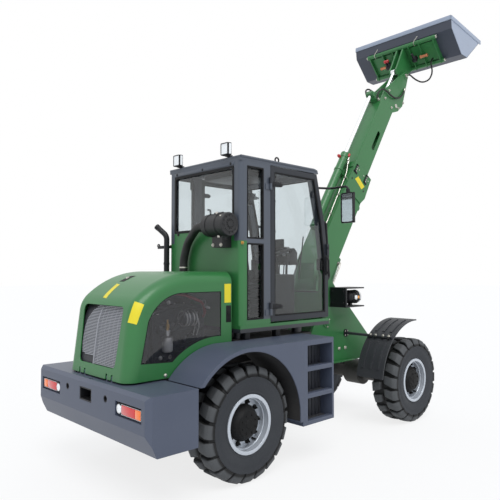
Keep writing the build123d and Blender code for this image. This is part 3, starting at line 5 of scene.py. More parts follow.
import bmesh
import bpy
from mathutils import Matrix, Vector


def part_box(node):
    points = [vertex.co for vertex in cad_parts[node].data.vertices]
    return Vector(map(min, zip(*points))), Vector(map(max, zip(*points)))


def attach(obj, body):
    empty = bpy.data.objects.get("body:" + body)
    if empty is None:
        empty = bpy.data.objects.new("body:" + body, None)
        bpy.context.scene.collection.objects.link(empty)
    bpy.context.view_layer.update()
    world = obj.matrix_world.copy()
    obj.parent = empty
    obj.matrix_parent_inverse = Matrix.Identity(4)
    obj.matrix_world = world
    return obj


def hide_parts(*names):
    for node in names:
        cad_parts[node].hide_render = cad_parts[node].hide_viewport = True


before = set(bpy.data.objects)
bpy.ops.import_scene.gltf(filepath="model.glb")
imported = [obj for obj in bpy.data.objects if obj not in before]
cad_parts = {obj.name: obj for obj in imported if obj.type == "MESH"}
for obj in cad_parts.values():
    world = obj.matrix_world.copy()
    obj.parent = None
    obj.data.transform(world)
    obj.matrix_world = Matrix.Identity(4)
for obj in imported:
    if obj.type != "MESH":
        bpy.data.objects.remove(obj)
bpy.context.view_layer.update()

scene = bpy.context.scene

# The camera stands behind the machine's right rear corner, at about the height of the
# hood's top, and looks forward and a little up. The lens is the photograph's.
EYE = Vector((-5.0834, -4.2338, 1.8017))
EYE_YAW = 0.8086
EYE_PITCH = 0.0404
LENS_MM = 39.19
SENSOR_MM = 36.0
LENS_SHIFT = (-0.0038, -0.0036)
gaze = Vector((
    math.cos(EYE_YAW) * math.cos(EYE_PITCH),
    math.sin(EYE_YAW) * math.cos(EYE_PITCH),
    math.sin(EYE_PITCH),
))
camera = bpy.data.cameras.new("camera")
camera.lens = LENS_MM
camera.sensor_width = SENSOR_MM
camera.shift_x, camera.shift_y = LENS_SHIFT
viewer = bpy.data.objects.new("camera", camera)
viewer.location = EYE
viewer.rotation_euler = gaze.to_track_quat("-Z", "Y").to_euler()
scene.collection.objects.link(viewer)
scene.camera = viewer
scene.view_settings.view_transform = "Standard"


# The floor is a pale sheet that keeps the machine's shadow. A soft sun stands behind the
# camera's right shoulder, and an even white sky lights the rest, most of all from above.
def srgb(red, green, blue):
    """Linear colour from the 0 to 255 numbers that a screen shows."""
    shares = [value / 255 for value in (red, green, blue)]
    return tuple(s / 12.92 if s <= 0.04045 else ((s + 0.055) / 1.055) ** 2.4 for s in shares)


FLOOR_REACH = 60.0
FLOOR_TONE = 0.9
FLOOR_ROUGHNESS = 0.9
FLOOR_GLOW = 0.80
SKY_FILL = 0.58
SKY_COLOUR = srgb(238, 245, 255)
SUN_STRENGTH = 1.50
SUN_FROM = Vector((-0.45, -0.75, 1.25))
SUN_SPREAD = math.radians(35)
OVERHEAD_STRENGTH = 0.45
OVERHEAD_SPREAD = math.radians(110)


def reckoner(tree):
    """Function that adds a Math node to this tree, between two sockets or numbers."""

    def reckon(operation, first, second=0.0):
        node = tree.nodes.new("ShaderNodeMath")
        node.operation = operation
        for socket, value in zip(node.inputs, (first, second)):
            if isinstance(value, (int, float)):
                socket.default_value = value
            else:
                tree.links.new(value, socket)
        return node.outputs[0]

    return reckon


def seen_rays(tree):
    """Socket that is 1 for the rays that look at a thing, straight, in a mirror or through glass."""
    seen = tree.nodes.new("ShaderNodeLightPath").outputs
    reckon = reckoner(tree)
    mirrored = reckon("MAXIMUM", seen["Is Camera Ray"], seen["Is Glossy Ray"])
    return reckon("MAXIMUM", mirrored, seen["Is Transmission Ray"])


def mix_shaders(tree, factor, first, second, output):
    """Blend two shaders into the output node by a factor socket."""
    blend = tree.nodes.new("ShaderNodeMixShader")
    tree.links.new(factor, blend.inputs["Fac"])
    tree.links.new(first.outputs[0], blend.inputs[1])
    tree.links.new(second.outputs[0], blend.inputs[2])
    tree.links.new(blend.outputs[0], tree.nodes[output].inputs["Surface"])


def sunlight(name, strength, spread, direction, colour=(1, 1, 1)):
    """Distant lamp as wide as spread that shines from a direction."""
    light = bpy.data.lights.new(name, "SUN")
    light.energy = strength
    light.angle = spread
    light.color = colour
    lamp = bpy.data.objects.new(name, light)
    lamp.rotation_euler = direction.to_track_quat("Z", "Y").to_euler()
    scene.collection.objects.link(lamp)


floor_sheet = bpy.data.meshes.new("floor")
floor_corners = [(x * FLOOR_REACH, y * FLOOR_REACH, 0) for x, y in ((-1, -1), (1, -1), (1, 1), (-1, 1))]
floor_sheet.from_pydata(floor_corners, [], [(0, 1, 2, 3)])
floor = bpy.data.objects.new("floor", floor_sheet)
scene.collection.objects.link(floor)
pale = bpy.data.materials.new("pale_floor")
pale.use_nodes = True
pale_tree = pale.node_tree
matt = pale_tree.nodes["Principled BSDF"]
matt.inputs["Base Color"].default_value = (FLOOR_TONE, FLOOR_TONE, FLOOR_TONE, 1)
matt.inputs["Roughness"].default_value = FLOOR_ROUGHNESS
glow = pale_tree.nodes.new("ShaderNodeEmission")
glow_share = reckoner(pale_tree)("MULTIPLY", seen_rays(pale_tree), FLOOR_GLOW)
mix_shaders(pale_tree, glow_share, matt, glow, "Material Output")
floor_sheet.materials.append(pale)

sky = bpy.data.worlds.new("sky")
sky.use_nodes = True
scene.world = sky
sky_tree = sky.node_tree
sky_fill = sky_tree.nodes["Background"]
sky_fill.inputs["Color"].default_value = (*SKY_COLOUR, 1)
sky_fill.inputs["Strength"].default_value = SKY_FILL
sky_seen = sky_tree.nodes.new("ShaderNodeBackground")
sky_seen.inputs["Color"].default_value = (1, 1, 1, 1)
mix_shaders(sky_tree, seen_rays(sky_tree), sky_fill, sky_seen, "World Output")
sunlight("sun", SUN_STRENGTH, SUN_SPREAD, SUN_FROM)
sunlight("overhead", OVERHEAD_STRENGTH, OVERHEAD_SPREAD, Vector((0, 0, 1)), SKY_COLOUR)

# Tyres: 18 inch industrial tyres moulded in black rubber, with two rows of slanted lugs
# whose ends run down over the shoulders, and a rib round each sidewall.
rear_axle_low, rear_axle_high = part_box("rear_axle")
AXLE_X = (rear_axle_low.x + rear_axle_high.x) / 2
HANDS = (1, -1)
TYRE_SEGMENTS = 100
TYRE_LUGS = 20
LUG_SLANT = 0.036
LUG_ENDS_Y = (0.010, 0.152)
LUG_BEVEL = 0.004
CARCASS = (
    # distance from the middle plane, radius
    (0.134, 0.250), (0.141, 0.262), (0.146, 0.270), (0.144, 0.276), (0.149, 0.290), (0.158, 0.325),
    (0.1610, 0.350), (0.1590, 0.360), (0.1605, 0.386), (0.1625, 0.390), (0.1620, 0.399), (0.1560, 0.404),
    (0.150, 0.428), (0.138, 0.446), (0.110, 0.454), (0.060, 0.457), (0.0, 0.458),
)
LUG_SECTIONS = (
    # distance from the middle plane, top radius, foot radius, half width at top, half width at foot
    (0.006, 0.4700, 0.452, 0.034, 0.038),
    (0.036, 0.4918, 0.452, 0.044, 0.050),
    (0.080, 0.4918, 0.452, 0.047, 0.053),
    (0.126, 0.4885, 0.446, 0.052, 0.057),
    (0.148, 0.4660, 0.430, 0.053, 0.057),
    (0.1618, 0.4320, 0.415, 0.052, 0.055),
    (0.1622, 0.4060, 0.398, 0.049, 0.052),
)


def at(x, y, z):
    """Point in the part's frame from a station measured forward from the rear axle."""
    return Vector((AXLE_X + x, y, z))


def lathe(mesh, centre, axis, profile, segments=48, closed=False):
    """Turn (along, radius) points about an axis through centre. A radius of 0 closes an end."""
    axis = Vector(axis).normalized()
    level = axis.orthogonal().normalized()
    other = axis.cross(level)
    rings = []
    for along, radius in profile:
        middle = Vector(centre) + axis * along
        ring = [mesh.verts.new(middle)] if radius == 0 else []
        for step in range(segments if radius else 0):
            turn = 2 * math.pi * step / segments
            ring.append(mesh.verts.new(middle + (level * math.cos(turn) + other * math.sin(turn)) * radius))
        rings.append(ring)
    pairs = list(zip(rings, rings[1:]))
    if closed:
        pairs.append((rings[-1], rings[0]))
    for first, second in pairs:
        for step in range(segments):
            after = step + 1
            corners = [
                first[step % len(first)], first[after % len(first)],
                second[after % len(second)], second[step % len(second)],
            ]
            mesh.faces.new(list(dict.fromkeys(corners)))


def loft(mesh, sections, bevel=0.0):
    """Solid through rings of as many points each, its two ends closed, its edges rounded."""
    rings = [[mesh.verts.new(point) for point in section] for section in sections]
    faces = [mesh.faces.new(rings[0][::-1]), mesh.faces.new(rings[-1])]
    for first, second in zip(rings, rings[1:]):
        for step in range(len(first)):
            after = (step + 1) % len(first)
            faces.append(mesh.faces.new((first[step], first[after], second[after], second[step])))
    if bevel:
        edges = list(dict.fromkeys(edge for face in faces for edge in face.edges))
        bmesh.ops.bevel(mesh, geom=edges, offset=bevel, segments=2, affect="EDGES", profile=0.5)


def object_of(name, mesh, material, crease=32):
    """Object with this mesh, smooth up to the crease angle, lying in the part's frame."""
    bmesh.ops.recalc_face_normals(mesh, faces=mesh.faces)
    data = bpy.data.meshes.new(name)
    mesh.to_mesh(data)
    mesh.free()
    data.shade_smooth()
    data.set_sharp_from_angle(angle=math.radians(crease))
    data.materials.append(material)
    made = bpy.data.objects.new(name, data)
    scene.collection.objects.link(made)
    return made


def piece(name, mesh, material, body):
    """Finished piece that rides a body, with the finish it is given."""
    made = object_of(name, mesh, material)
    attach(made, body)
    return made


# Weathering that every finish shares: cloudy patches, a fine grain, dust on what faces up
# and near the ground, and rounded edges.
DUST_COLOUR = srgb(150, 142, 128)
PATCH_SCALE = 2.6
PATCH_DETAIL = 5
GRAIN_DETAIL = 3
PATCH_TONE = 3.0
PATCH_DUST = 2.2
PATCH_ROUGHNESS = 0.12
DUST_START = 0.6
DUST_ON_TOP = 0.8
DUST_ROUGHNESS = 0.35
DUST_FADE = (("From Min", 0.1), ("From Max", 1.1), ("To Min", 1.0), ("To Max", 0.15))
EDGE_SAMPLES = 4
COAT_ROUGHNESS = 0.06
GRAIN_DEPTH = 0.002
weathered = bpy.data.node_groups.new("weathered", "ShaderNodeTree")
for label, kind, start in (
    ("Colour", "NodeSocketColor", (0.5, 0.5, 0.5, 1)),
    ("Dust Colour", "NodeSocketColor", (*DUST_COLOUR, 1)),
    ("Roughness", "NodeSocketFloat", 0.5),
    ("Mottle", "NodeSocketFloat", 0.06),
    ("Dust", "NodeSocketFloat", 0.1),
    ("Grain Scale", "NodeSocketFloat", 240.0),
    ("Edge Radius", "NodeSocketFloat", 0.004),
):
    socket = weathered.interface.new_socket(label, in_out="INPUT", socket_type=kind)
    socket.default_value = start
for label, kind in (
    ("Colour", "NodeSocketColor"), ("Roughness", "NodeSocketFloat"),
    ("Height", "NodeSocketFloat"), ("Normal", "NodeSocketVector"),
):
    weathered.interface.new_socket(label, in_out="OUTPUT", socket_type=kind)


def blended(tree, factor, first, second):
    """Socket of the colour between two colours or sockets, by a factor socket."""
    mix = tree.nodes.new("ShaderNodeMix")
    mix.data_type = "RGBA"
    tree.links.new(factor, mix.inputs["Factor"])
    for label, value in (("A", first), ("B", second)):
        if isinstance(value, tuple):
            mix.inputs[label].default_value = (*value, 1)
        else:
            tree.links.new(value, mix.inputs[label])
    return mix.outputs["Result"]


def split_place(tree):
    """Sockets of the place on the object along X, Y and Z."""
    split = tree.nodes.new("ShaderNodeSeparateXYZ")
    tree.links.new(tree.nodes.new("ShaderNodeTexCoord").outputs["Object"], split.inputs[0])
    return split.outputs


wear = reckoner(weathered)
wear_link = weathered.links.new
wear_in = weathered.nodes.new("NodeGroupInput").outputs
wear_out = weathered.nodes.new("NodeGroupOutput").inputs
wear_place = weathered.nodes.new("ShaderNodeTexCoord").outputs["Object"]
patches = weathered.nodes.new("ShaderNodeTexNoise")
patches.inputs["Scale"].default_value = PATCH_SCALE
patches.inputs["Detail"].default_value = PATCH_DETAIL
wear_link(wear_place, patches.inputs["Vector"])
grain = weathered.nodes.new("ShaderNodeTexNoise")
grain.inputs["Detail"].default_value = GRAIN_DETAIL
wear_link(wear_place, grain.inputs["Vector"])
wear_link(wear_in["Grain Scale"], grain.inputs["Scale"])
cloud = wear("SUBTRACT", patches.outputs["Fac"], 0.5)
grit = wear("SUBTRACT", grain.outputs["Fac"], 0.5)
shade = wear("MULTIPLY", wear("ADD", wear("MULTIPLY", cloud, PATCH_TONE), grit), wear_in["Mottle"])
toned = weathered.nodes.new("ShaderNodeVectorMath")
toned.operation = "SCALE"
wear_link(wear_in["Colour"], toned.inputs["Vector"])
wear_link(wear("ADD", shade, 1.0), toned.inputs["Scale"])
facing = weathered.nodes.new("ShaderNodeSeparateXYZ")
wear_link(weathered.nodes.new("ShaderNodeNewGeometry").outputs["Normal"], facing.inputs[0])
upward = wear("MAXIMUM", facing.outputs["Z"], 0.0)
near_ground = weathered.nodes.new("ShaderNodeMapRange")
for label, value in DUST_FADE:
    near_ground.inputs[label].default_value = value
wear_link(split_place(weathered)["Z"], near_ground.inputs["Value"])
settled = wear("ADD", wear("MULTIPLY", upward, DUST_ON_TOP), near_ground.outputs[0])
blotch = wear("ADD", wear("MULTIPLY", cloud, PATCH_DUST), wear("ADD", grit, DUST_START))
dust_cut = weathered.nodes.new("ShaderNodeClamp")
wear_link(wear("MULTIPLY", wear("MULTIPLY", settled, blotch), wear_in["Dust"]), dust_cut.inputs["Value"])
dust_share = dust_cut.outputs[0]
wear_link(blended(weathered, dust_share, toned.outputs[0], wear_in["Dust Colour"]), wear_out["Colour"])
worn = wear("ADD", wear_in["Roughness"], wear("MULTIPLY", dust_share, DUST_ROUGHNESS))
wear_link(wear("ADD", worn, wear("MULTIPLY", cloud, PATCH_ROUGHNESS)), wear_out["Roughness"])
wear_link(grain.outputs["Fac"], wear_out["Height"])
rounded_edge = weathered.nodes.new("ShaderNodeBevel")
rounded_edge.samples = EDGE_SAMPLES
wear_link(wear_in["Edge Radius"], rounded_edge.inputs["Radius"])
wear_link(rounded_edge.outputs[0], wear_out["Normal"])


def coated(name, colour, roughness, metallic=0.0, coat=0.0, mottle=0.06, dust=0.08, grain_scale=240.0,
           relief=0.03, edge=0.004, gloss=0.5):
    """Weathered finish with its own colour, gloss, grain and dust."""
    material = bpy.data.materials.new(name)
    material.use_nodes = True
    tree = material.node_tree
    shader = tree.nodes["Principled BSDF"]
    shader.inputs["Metallic"].default_value = metallic
    shader.inputs["Specular IOR Level"].default_value = gloss
    shader.inputs["Coat Weight"].default_value = coat
    shader.inputs["Coat Roughness"].default_value = COAT_ROUGHNESS
    weather = tree.nodes.new("ShaderNodeGroup")
    weather.node_tree = weathered
    for label, value in (
        ("Colour", (*colour, 1)), ("Roughness", roughness), ("Mottle", mottle), ("Dust", dust),
        ("Grain Scale", grain_scale), ("Edge Radius", edge),
    ):
        weather.inputs[label].default_value = value
    bump = tree.nodes.new("ShaderNodeBump")
    bump.inputs["Strength"].default_value = relief
    bump.inputs["Distance"].default_value = GRAIN_DEPTH
    tree.links.new(weather.outputs["Height"], bump.inputs["Height"])
    tree.links.new(weather.outputs["Normal"], bump.inputs["Normal"])
    tree.links.new(bump.outputs["Normal"], shader.inputs["Normal"])
    tree.links.new(weather.outputs["Colour"], shader.inputs["Base Color"])
    tree.links.new(weather.outputs["Roughness"], shader.inputs["Roughness"])
    return material


def weather_inputs(tree):
    """Inputs of the weathering in a finish."""
    return next(node for node in tree.nodes if node.type == "GROUP").inputs


# Rubber: a painted highlight on the lug tops over painted shade in the grooves, told apart from
# the plain sidewall by the distance from the axle and from the middle plane.
SIDEWALL_COLOUR = srgb(48, 51, 56)
# The grooves' dark colour is painted shade, and the lug tops' paler colour is a painted highlight.
GROOVE_SHADE_COLOUR = srgb(17, 18, 20)
LUG_HIGHLIGHT_COLOUR = srgb(80, 82, 84)
RUBBER_DUST = srgb(116, 114, 110)
SHOULDER_Y = 0.11
CREST_RADII = (0.472, 0.487)
TREAD_RADIUS = 0.403
tyre_rubber = coated(
    "tyre_rubber", SIDEWALL_COLOUR, 0.70, mottle=0.16, dust=0.08, grain_scale=90, relief=0.22, edge=0.003,
    gloss=0.35)
rubber_tree = tyre_rubber.node_tree
reckon = reckoner(rubber_tree)
wheel_place = split_place(rubber_tree)
across = reckon("MULTIPLY", wheel_place["X"], wheel_place["X"])
up = reckon("MULTIPLY", wheel_place["Z"], wheel_place["Z"])
tyre_radius = reckon("SQRT", reckon("ADD", across, up))
shoulder = reckon("MAXIMUM", reckon("SUBTRACT", reckon("ABSOLUTE", wheel_place["Y"]), SHOULDER_Y), 0.0)
crest = rubber_tree.nodes.new("ShaderNodeMapRange")
crest.inputs["From Min"].default_value, crest.inputs["From Max"].default_value = CREST_RADII
rubber_tree.links.new(reckon("ADD", tyre_radius, shoulder), crest.inputs["Value"])
# Painted shade in the grooves fades into a painted highlight on the lug tops.
tread_shade_and_highlight = blended(rubber_tree, crest.outputs[0], GROOVE_SHADE_COLOUR, LUG_HIGHLIGHT_COLOUR)
on_tread = reckon("GREATER_THAN", tyre_radius, TREAD_RADIUS)
rubber_inputs = weather_inputs(rubber_tree)
rubber_inputs["Dust Colour"].default_value = (*RUBBER_DUST, 1)
rubber_tree.links.new(blended(rubber_tree, on_tread, SIDEWALL_COLOUR, tread_shade_and_highlight), rubber_inputs["Colour"])


def tyre_mesh():
    """Carcass and lugs of one tyre about its own middle, its axle along Y."""
    mesh = bmesh.new()
    section = CARCASS + tuple((-y, radius) for y, radius in CARCASS[-2::-1])
    lathe(mesh, (0, 0, 0), (0, 1, 0), section, TYRE_SEGMENTS)
    pitch = 2 * math.pi / TYRE_LUGS
    slope = LUG_SLANT / (LUG_ENDS_Y[1] - LUG_ENDS_Y[0])
    for row in HANDS:
        for index in range(TYRE_LUGS):
            middle_turn = index * pitch + row * pitch / 4 - math.pi / 2
            rings = []
            for y, top, foot, top_half, foot_half in LUG_SECTIONS:
                lean = (min(y, LUG_ENDS_Y[1]) - sum(LUG_ENDS_Y) / 2) * slope
                ring = []
                corners = ((foot, -foot_half), (top, -top_half), (top, top_half), (foot, foot_half))
                for radius, side in corners:
                    turn = middle_turn + (lean + side) / radius
                    ring.append((radius * math.cos(turn), row * y, radius * math.sin(turn)))
                rings.append(ring)
            loft(mesh, rings, LUG_BEVEL)
    return mesh


WHEEL_PLACES = ("front_left", "front_right", "rear_left", "rear_right")
first_tyre = None
for place in WHEEL_PLACES:
    low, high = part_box(f"tyre_{place}")
    if first_tyre is None:
        first_tyre = object_of(f"lugged_tyre_{place}", tyre_mesh(), tyre_rubber)
        lugged = first_tyre
    else:
        lugged = bpy.data.objects.new(f"lugged_tyre_{place}", first_tyre.data)
        scene.collection.objects.link(lugged)
    lugged.location = (low + high) / 2
    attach(lugged, f"wheel_{place}")
    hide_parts(f"tyre_{place}")

# Rims: rolled and welded steel, sprayed silver, with a bright flange. A black hub cover
# and ten wheel nuts stand on the disc, and a valve comes through near its edge.
RIM_DISC_FACE = 0.046
RIM_SEGMENTS = 96
NUTS = 10
NUT_CIRCLE = 0.178
NUT_SIZE = 0.034
STUD = ((0.018, 0), (0.018, 0.009), (0.034, 0.009), (0.036, 0.007), (0.036, 0))
COVER_BOLTS = 8
COVER_BOLT_CIRCLE = 0.080
COVER_BOLT_SEAT = 0.088
COVER_BOLT_SIZE = 0.018
HUB_COVER = (
    # along the axle from the disc's face, radius
    (-0.004, 0.158), (0.018, 0.158), (0.024, 0.152), (0.050, 0.140), (0.072, 0.118), (0.078, 0.112),
    (0.086, 0.108), (0.090, 0.098), (0.092, 0.040), (0.098, 0.034), (0.098, 0.0),
)
RIM_BEAD = (
    # along the axle from the middle plane, radius
    (0.128, 0.2215), (0.1445, 0.2215), (0.1462, 0.2300), (0.1462, 0.2485), (0.1440, 0.2525), (0.1400, 0.2525),
)
GUTTER_RING = ((0.084, 0.2120), (0.090, 0.2085), (0.096, 0.2120), (0.096, 0.2180), (0.084, 0.2180))
VALVE_WAY = Vector((0.6, 0, -0.8))
VALVE_CIRCLE = 0.198
VALVE = ((-0.004, 0), (-0.004, 0.011), (0.012, 0.010), (0.016, 0.006), (0.048, 0.006), (0.048, 0))
rim_silver = coated(
    "rim_silver", srgb(196, 202, 210), 0.34, metallic=0.45, mottle=0.05, dust=0.05, grain_scale=400)
hub_black = coated(
    "hub_black", srgb(18, 19, 21), 0.6, mottle=0.12, dust=0.03, grain_scale=200, relief=0.08, gloss=0.2)
bright_zinc = coated(
    "bright_zinc", srgb(196, 194, 186), 0.3, metallic=0.9, mottle=0.1, dust=0.04, grain_scale=500)


def dress(material, *nodes):
    """Give solids of the frame their finish."""
    for node in nodes:
        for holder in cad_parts[node].material_slots:
            holder.material = material


def drum(mesh, centre, axis, radius, height, segments, foot=0.0):
    """Plain turned cylinder with flat ends."""
    lathe(mesh, centre, axis, ((foot, 0), (foot, radius), (height, radius), (height, 0)), segments)


def bolt(mesh, centre, axis, size):
    """Hexagon bolt head on a washer: size is across its corners, centre is on the seat."""
    drum(mesh, centre, axis, size * 0.72, size * 0.14, 20, foot=-0.002)
    head = (
        (size * 0.1, 0), (size * 0.1, size * 0.5), (size * 0.5, size * 0.5),
        (size * 0.58, size * 0.42), (size * 0.58, 0),
    )
    lathe(mesh, centre, axis, head, 6)


def wheel_ways(count, shift=0.0):
    """Ways from the axle outwards in the wheel's plane, evenly spaced."""
    turns = [2 * math.pi * (index + shift) / count for index in range(count)]
    return [Vector((math.cos(turn), 0, math.sin(turn))) for turn in turns]


for place in WHEEL_PLACES:
    low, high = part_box(f"tyre_{place}")
    middle = (low + high) / 2
    outward = Vector((0, math.copysign(1, middle.y), 0))
    disc = middle + outward * RIM_DISC_FACE
    dress(rim_silver, f"rim_{place}")
    cover = bmesh.new()
    lathe(cover, disc, outward, HUB_COVER, 48)
    for way in wheel_ways(COVER_BOLTS, 0.5):
        bolt(cover, disc + outward * COVER_BOLT_SEAT + way * COVER_BOLT_CIRCLE, outward, COVER_BOLT_SIZE)
    for way in wheel_ways(NUTS):
        bolt(cover, disc + way * NUT_CIRCLE, outward, NUT_SIZE)
        lathe(cover, disc + way * NUT_CIRCLE, outward, STUD, 10)
    piece(f"hub_cover_{place}", cover, hub_black, f"wheel_{place}")
    flange = bmesh.new()
    for profile in (RIM_BEAD, GUTTER_RING):
        lathe(flange, middle, outward, profile, RIM_SEGMENTS, closed=True)
    piece(f"rim_flange_{place}", flange, rim_silver, f"wheel_{place}")
    valve = bmesh.new()
    lathe(valve, disc + VALVE_WAY * VALVE_CIRCLE, outward, VALVE, 12)
    piece(f"valve_{place}", valve, hub_black, f"wheel_{place}")

# Axles and rear frame: cast axle housings bolted under a welded frame, all sprayed black.
# The frame's cross members carry the engine and the cab.
axle_black = coated(
    "axle_black", srgb(30, 31, 33), 0.55, mottle=0.16, dust=0.22, grain_scale=120, relief=0.15, edge=0.006)
dress(axle_black, "rear_axle", "front_axle", "rear_frame")

# Counterweight: one thick casting across the tail, sprayed blue-grey. A black lining in the hitch
# slot and sleeves in the two lashing holes are painted shade inside the openings.
REARWARD = Vector((-1, 0, 0))
FORWARD = Vector((1, 0, 0))
UPWARD = Vector((0, 0, 1))
TAIL_X = -1.081
HITCH_SLOT_Y = (-0.102, 0.102)
HITCH_SLOT_Z = (0.724, 0.833)
HITCH_SETBACK = 0.001
HITCH_GAP = 0.0005
HITCH_SHADE_WIDTH = 0.010
HITCH_SHADE_DEPTH = 0.120
LASHING_PLACES = ((0.33, 0.796), (-0.33, 0.796))
LASHING_SHADE_SLEEVE = ((0.001, 0.0276), (0.090, 0.0276), (0.090, 0.0220), (0.001, 0.0220))
guard_grey = coated(
    "guard_grey", srgb(74, 82, 100), 0.45, coat=0.06, mottle=0.06, dust=0.05, grain_scale=260, edge=0.006)
satin_black = coated(
    "satin_black", srgb(26, 27, 31), 0.45, mottle=0.10, dust=0.05, grain_scale=260, relief=0.06, gloss=0.3)
dress(guard_grey, "counterweight")


def brick(mesh, low, high, bevel=0.0):
    """Block between two stations, its edges rounded."""
    x, y, z = (sorted(ends) for ends in zip(low, high))
    ring = ((x[0], y[0]), (x[1], y[0]), (x[1], y[1]), (x[0], y[1]))
    loft(mesh, [[at(*corner, level) for corner in ring] for level in z], bevel)


def sided(hand, low, high):
    """Two stations of the left side, taken to the side of this hand."""
    return [(x, hand * y, z) for x, y, z in (low, high)]


def slab(mesh, ring, push, bevel=0.0):
    """Plate with this outline, as thick as the push, its edges rounded."""
    loft(mesh, [ring, [point + Vector(push) for point in ring]], bevel)


def rear_loop(x, y_ends, z_ends):
    """Upright rectangle that faces the rear, its corners anticlockwise as seen from there."""
    near, far = sorted(y_ends)
    low, high = z_ends
    return [at(x, far, low), at(x, near, low), at(x, near, high), at(x, far, high)]


def inset_loop(loop, normal, width):
    """Closed outline moved inwards by width. It runs anticlockwise about the normal."""
    moved = []
    for index, point in enumerate(loop):
        before = (point - loop[index - 1]).normalized()
        after = (loop[(index + 1) % len(loop)] - point).normalized()
        first, second = normal.cross(before), normal.cross(after)
        moved.append(point + (first + second) * (width / (1 + first.dot(second))))
    return moved


def frame_strip(mesh, loop, normal, width, depth):
    """Flat frame along the inside of an outline, standing up along the normal by depth."""
    normal = Vector(normal)
    inner = inset_loop(loop, normal, width)
    lifted = [[point + normal * depth for point in line] for line in (inner, loop)]
    rings = [[mesh.verts.new(point) for point in line] for line in (loop, inner, *lifted)]
    for first, second in zip(rings, rings[1:] + rings[:1]):
        for step in range(len(loop)):
            after = (step + 1) % len(loop)
            mesh.faces.new((first[step], first[after], second[after], second[step]))


def rounded(points, bend, steps=5, closed=True):
    """Outline or path whose corners are arcs that start and end this far from each corner."""
    line = []
    count = len(points)
    for index, point in enumerate(points):
        if not closed and index in (0, count - 1):
            line.append(point)
            continue
        before, after = points[index - 1], points[(index + 1) % count]
        reach = min(bend, (before - point).length * 0.48, (after - point).length * 0.48)
        start = point + (before - point).normalized() * reach
        end = point + (after - point).normalized() * reach
        for step in range(steps + 1):
            share = step / steps
            line.append(start * (1 - share) ** 2 + point * (2 * share * (1 - share)) + end * share ** 2)
    return line


def tube(mesh, points, radius, bend=0.0, segments=14):
    """Round bar or hose along a path whose corners are bent."""
    path = [Vector(point) for point in points]
    if bend:
        path = rounded(path, bend, 6, closed=False)
    level = (path[1] - path[0]).orthogonal().normalized()
    rings = []
    for index, point in enumerate(path):
        along = (path[min(index + 1, len(path) - 1)] - path[max(index - 1, 0)]).normalized()
        level = (level - along * level.dot(along)).normalized()
        other = along.cross(level)
        turns = [2 * math.pi * step / segments for step in range(segments)]
        rings.append([point + (level * math.cos(turn) + other * math.sin(turn)) * radius for turn in turns])
    loft(mesh, rings)


# The black lining and sleeves are painted shade inside the slot and holes.
hole_shade = bmesh.new()
slot_loop = inset_loop(rear_loop(TAIL_X + HITCH_SETBACK, HITCH_SLOT_Y, HITCH_SLOT_Z), REARWARD, HITCH_GAP)
frame_strip(hole_shade, slot_loop, REARWARD, HITCH_SHADE_WIDTH, -HITCH_SHADE_DEPTH)
for y, z in LASHING_PLACES:
    lathe(hole_shade, at(TAIL_X, y, z), FORWARD, LASHING_SHADE_SLEEVE, 28, closed=True)
piece("tail_hole_shade", hole_shade, satin_black, "rear_body")

# Tail lamps: moulded lamps let into the casting, each with a black back shell, a round
# white reversing lens, a red middle and an orange end, and a thin plated surround.
SIDES = (("left", 1), ("right", -1))
LAMP_LOW, LAMP_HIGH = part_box("tail_lamps")
LAMP_REAR_X = LAMP_LOW.x - AXLE_X
LAMP_DEEP_X = LAMP_HIGH.x - AXLE_X
LAMP_MIDDLE_Z = (LAMP_LOW.z + LAMP_HIGH.z) / 2
LAMP_SPAN = (0.492, 0.838)
SHELL_SETBACK = 0.010
SHELL_GAP = 0.001
SHELL_BEVEL = 0.004
LAMP_LENSES = (
    # name, from y, to y, red, green, blue
    ("red", 0.566, 0.752, 196, 24, 30),
    ("orange", 0.756, 0.828, 236, 112, 24),
)
LENS_DEPTHS = (0.001, 0.014)
LENS_INSET = 0.011
LENS_BEVEL = 0.005
WHITE_LENS_Y = 0.528
WHITE_LENS = ((0.0, 0.0), (0.0, 0.031), (0.006, 0.031), (0.0085, 0.026), (0.010, 0.0))
WHITE_RING = ((0.0, 0.031), (0.0, 0.036), (0.008, 0.036), (0.0085, 0.033), (0.006, 0.031))
SURROUND_SETBACK = 0.011
SURROUND_INSETS = (0.068, 0.004)
SURROUND_EDGE = 0.006
SURROUND_WIDTH = 0.004
SURROUND_RISE = 0.006
plated = coated(
    "plated", srgb(205, 207, 210), 0.16, metallic=1.0, mottle=0.04, dust=0.03, grain_scale=500, relief=0.01)


def lens(name, colour, strength):
    """Moulded lens with fine grain that glows a little, as if daylight were in it."""
    material = coated(name, colour, 0.16, coat=0.7, mottle=0.10, dust=0.02, grain_scale=130, relief=0.10)
    shader = material.node_tree.nodes["Principled BSDF"]
    shader.inputs["Emission Color"].default_value = (*colour, 1)
    shader.inputs["Emission Strength"].default_value = strength
    return material


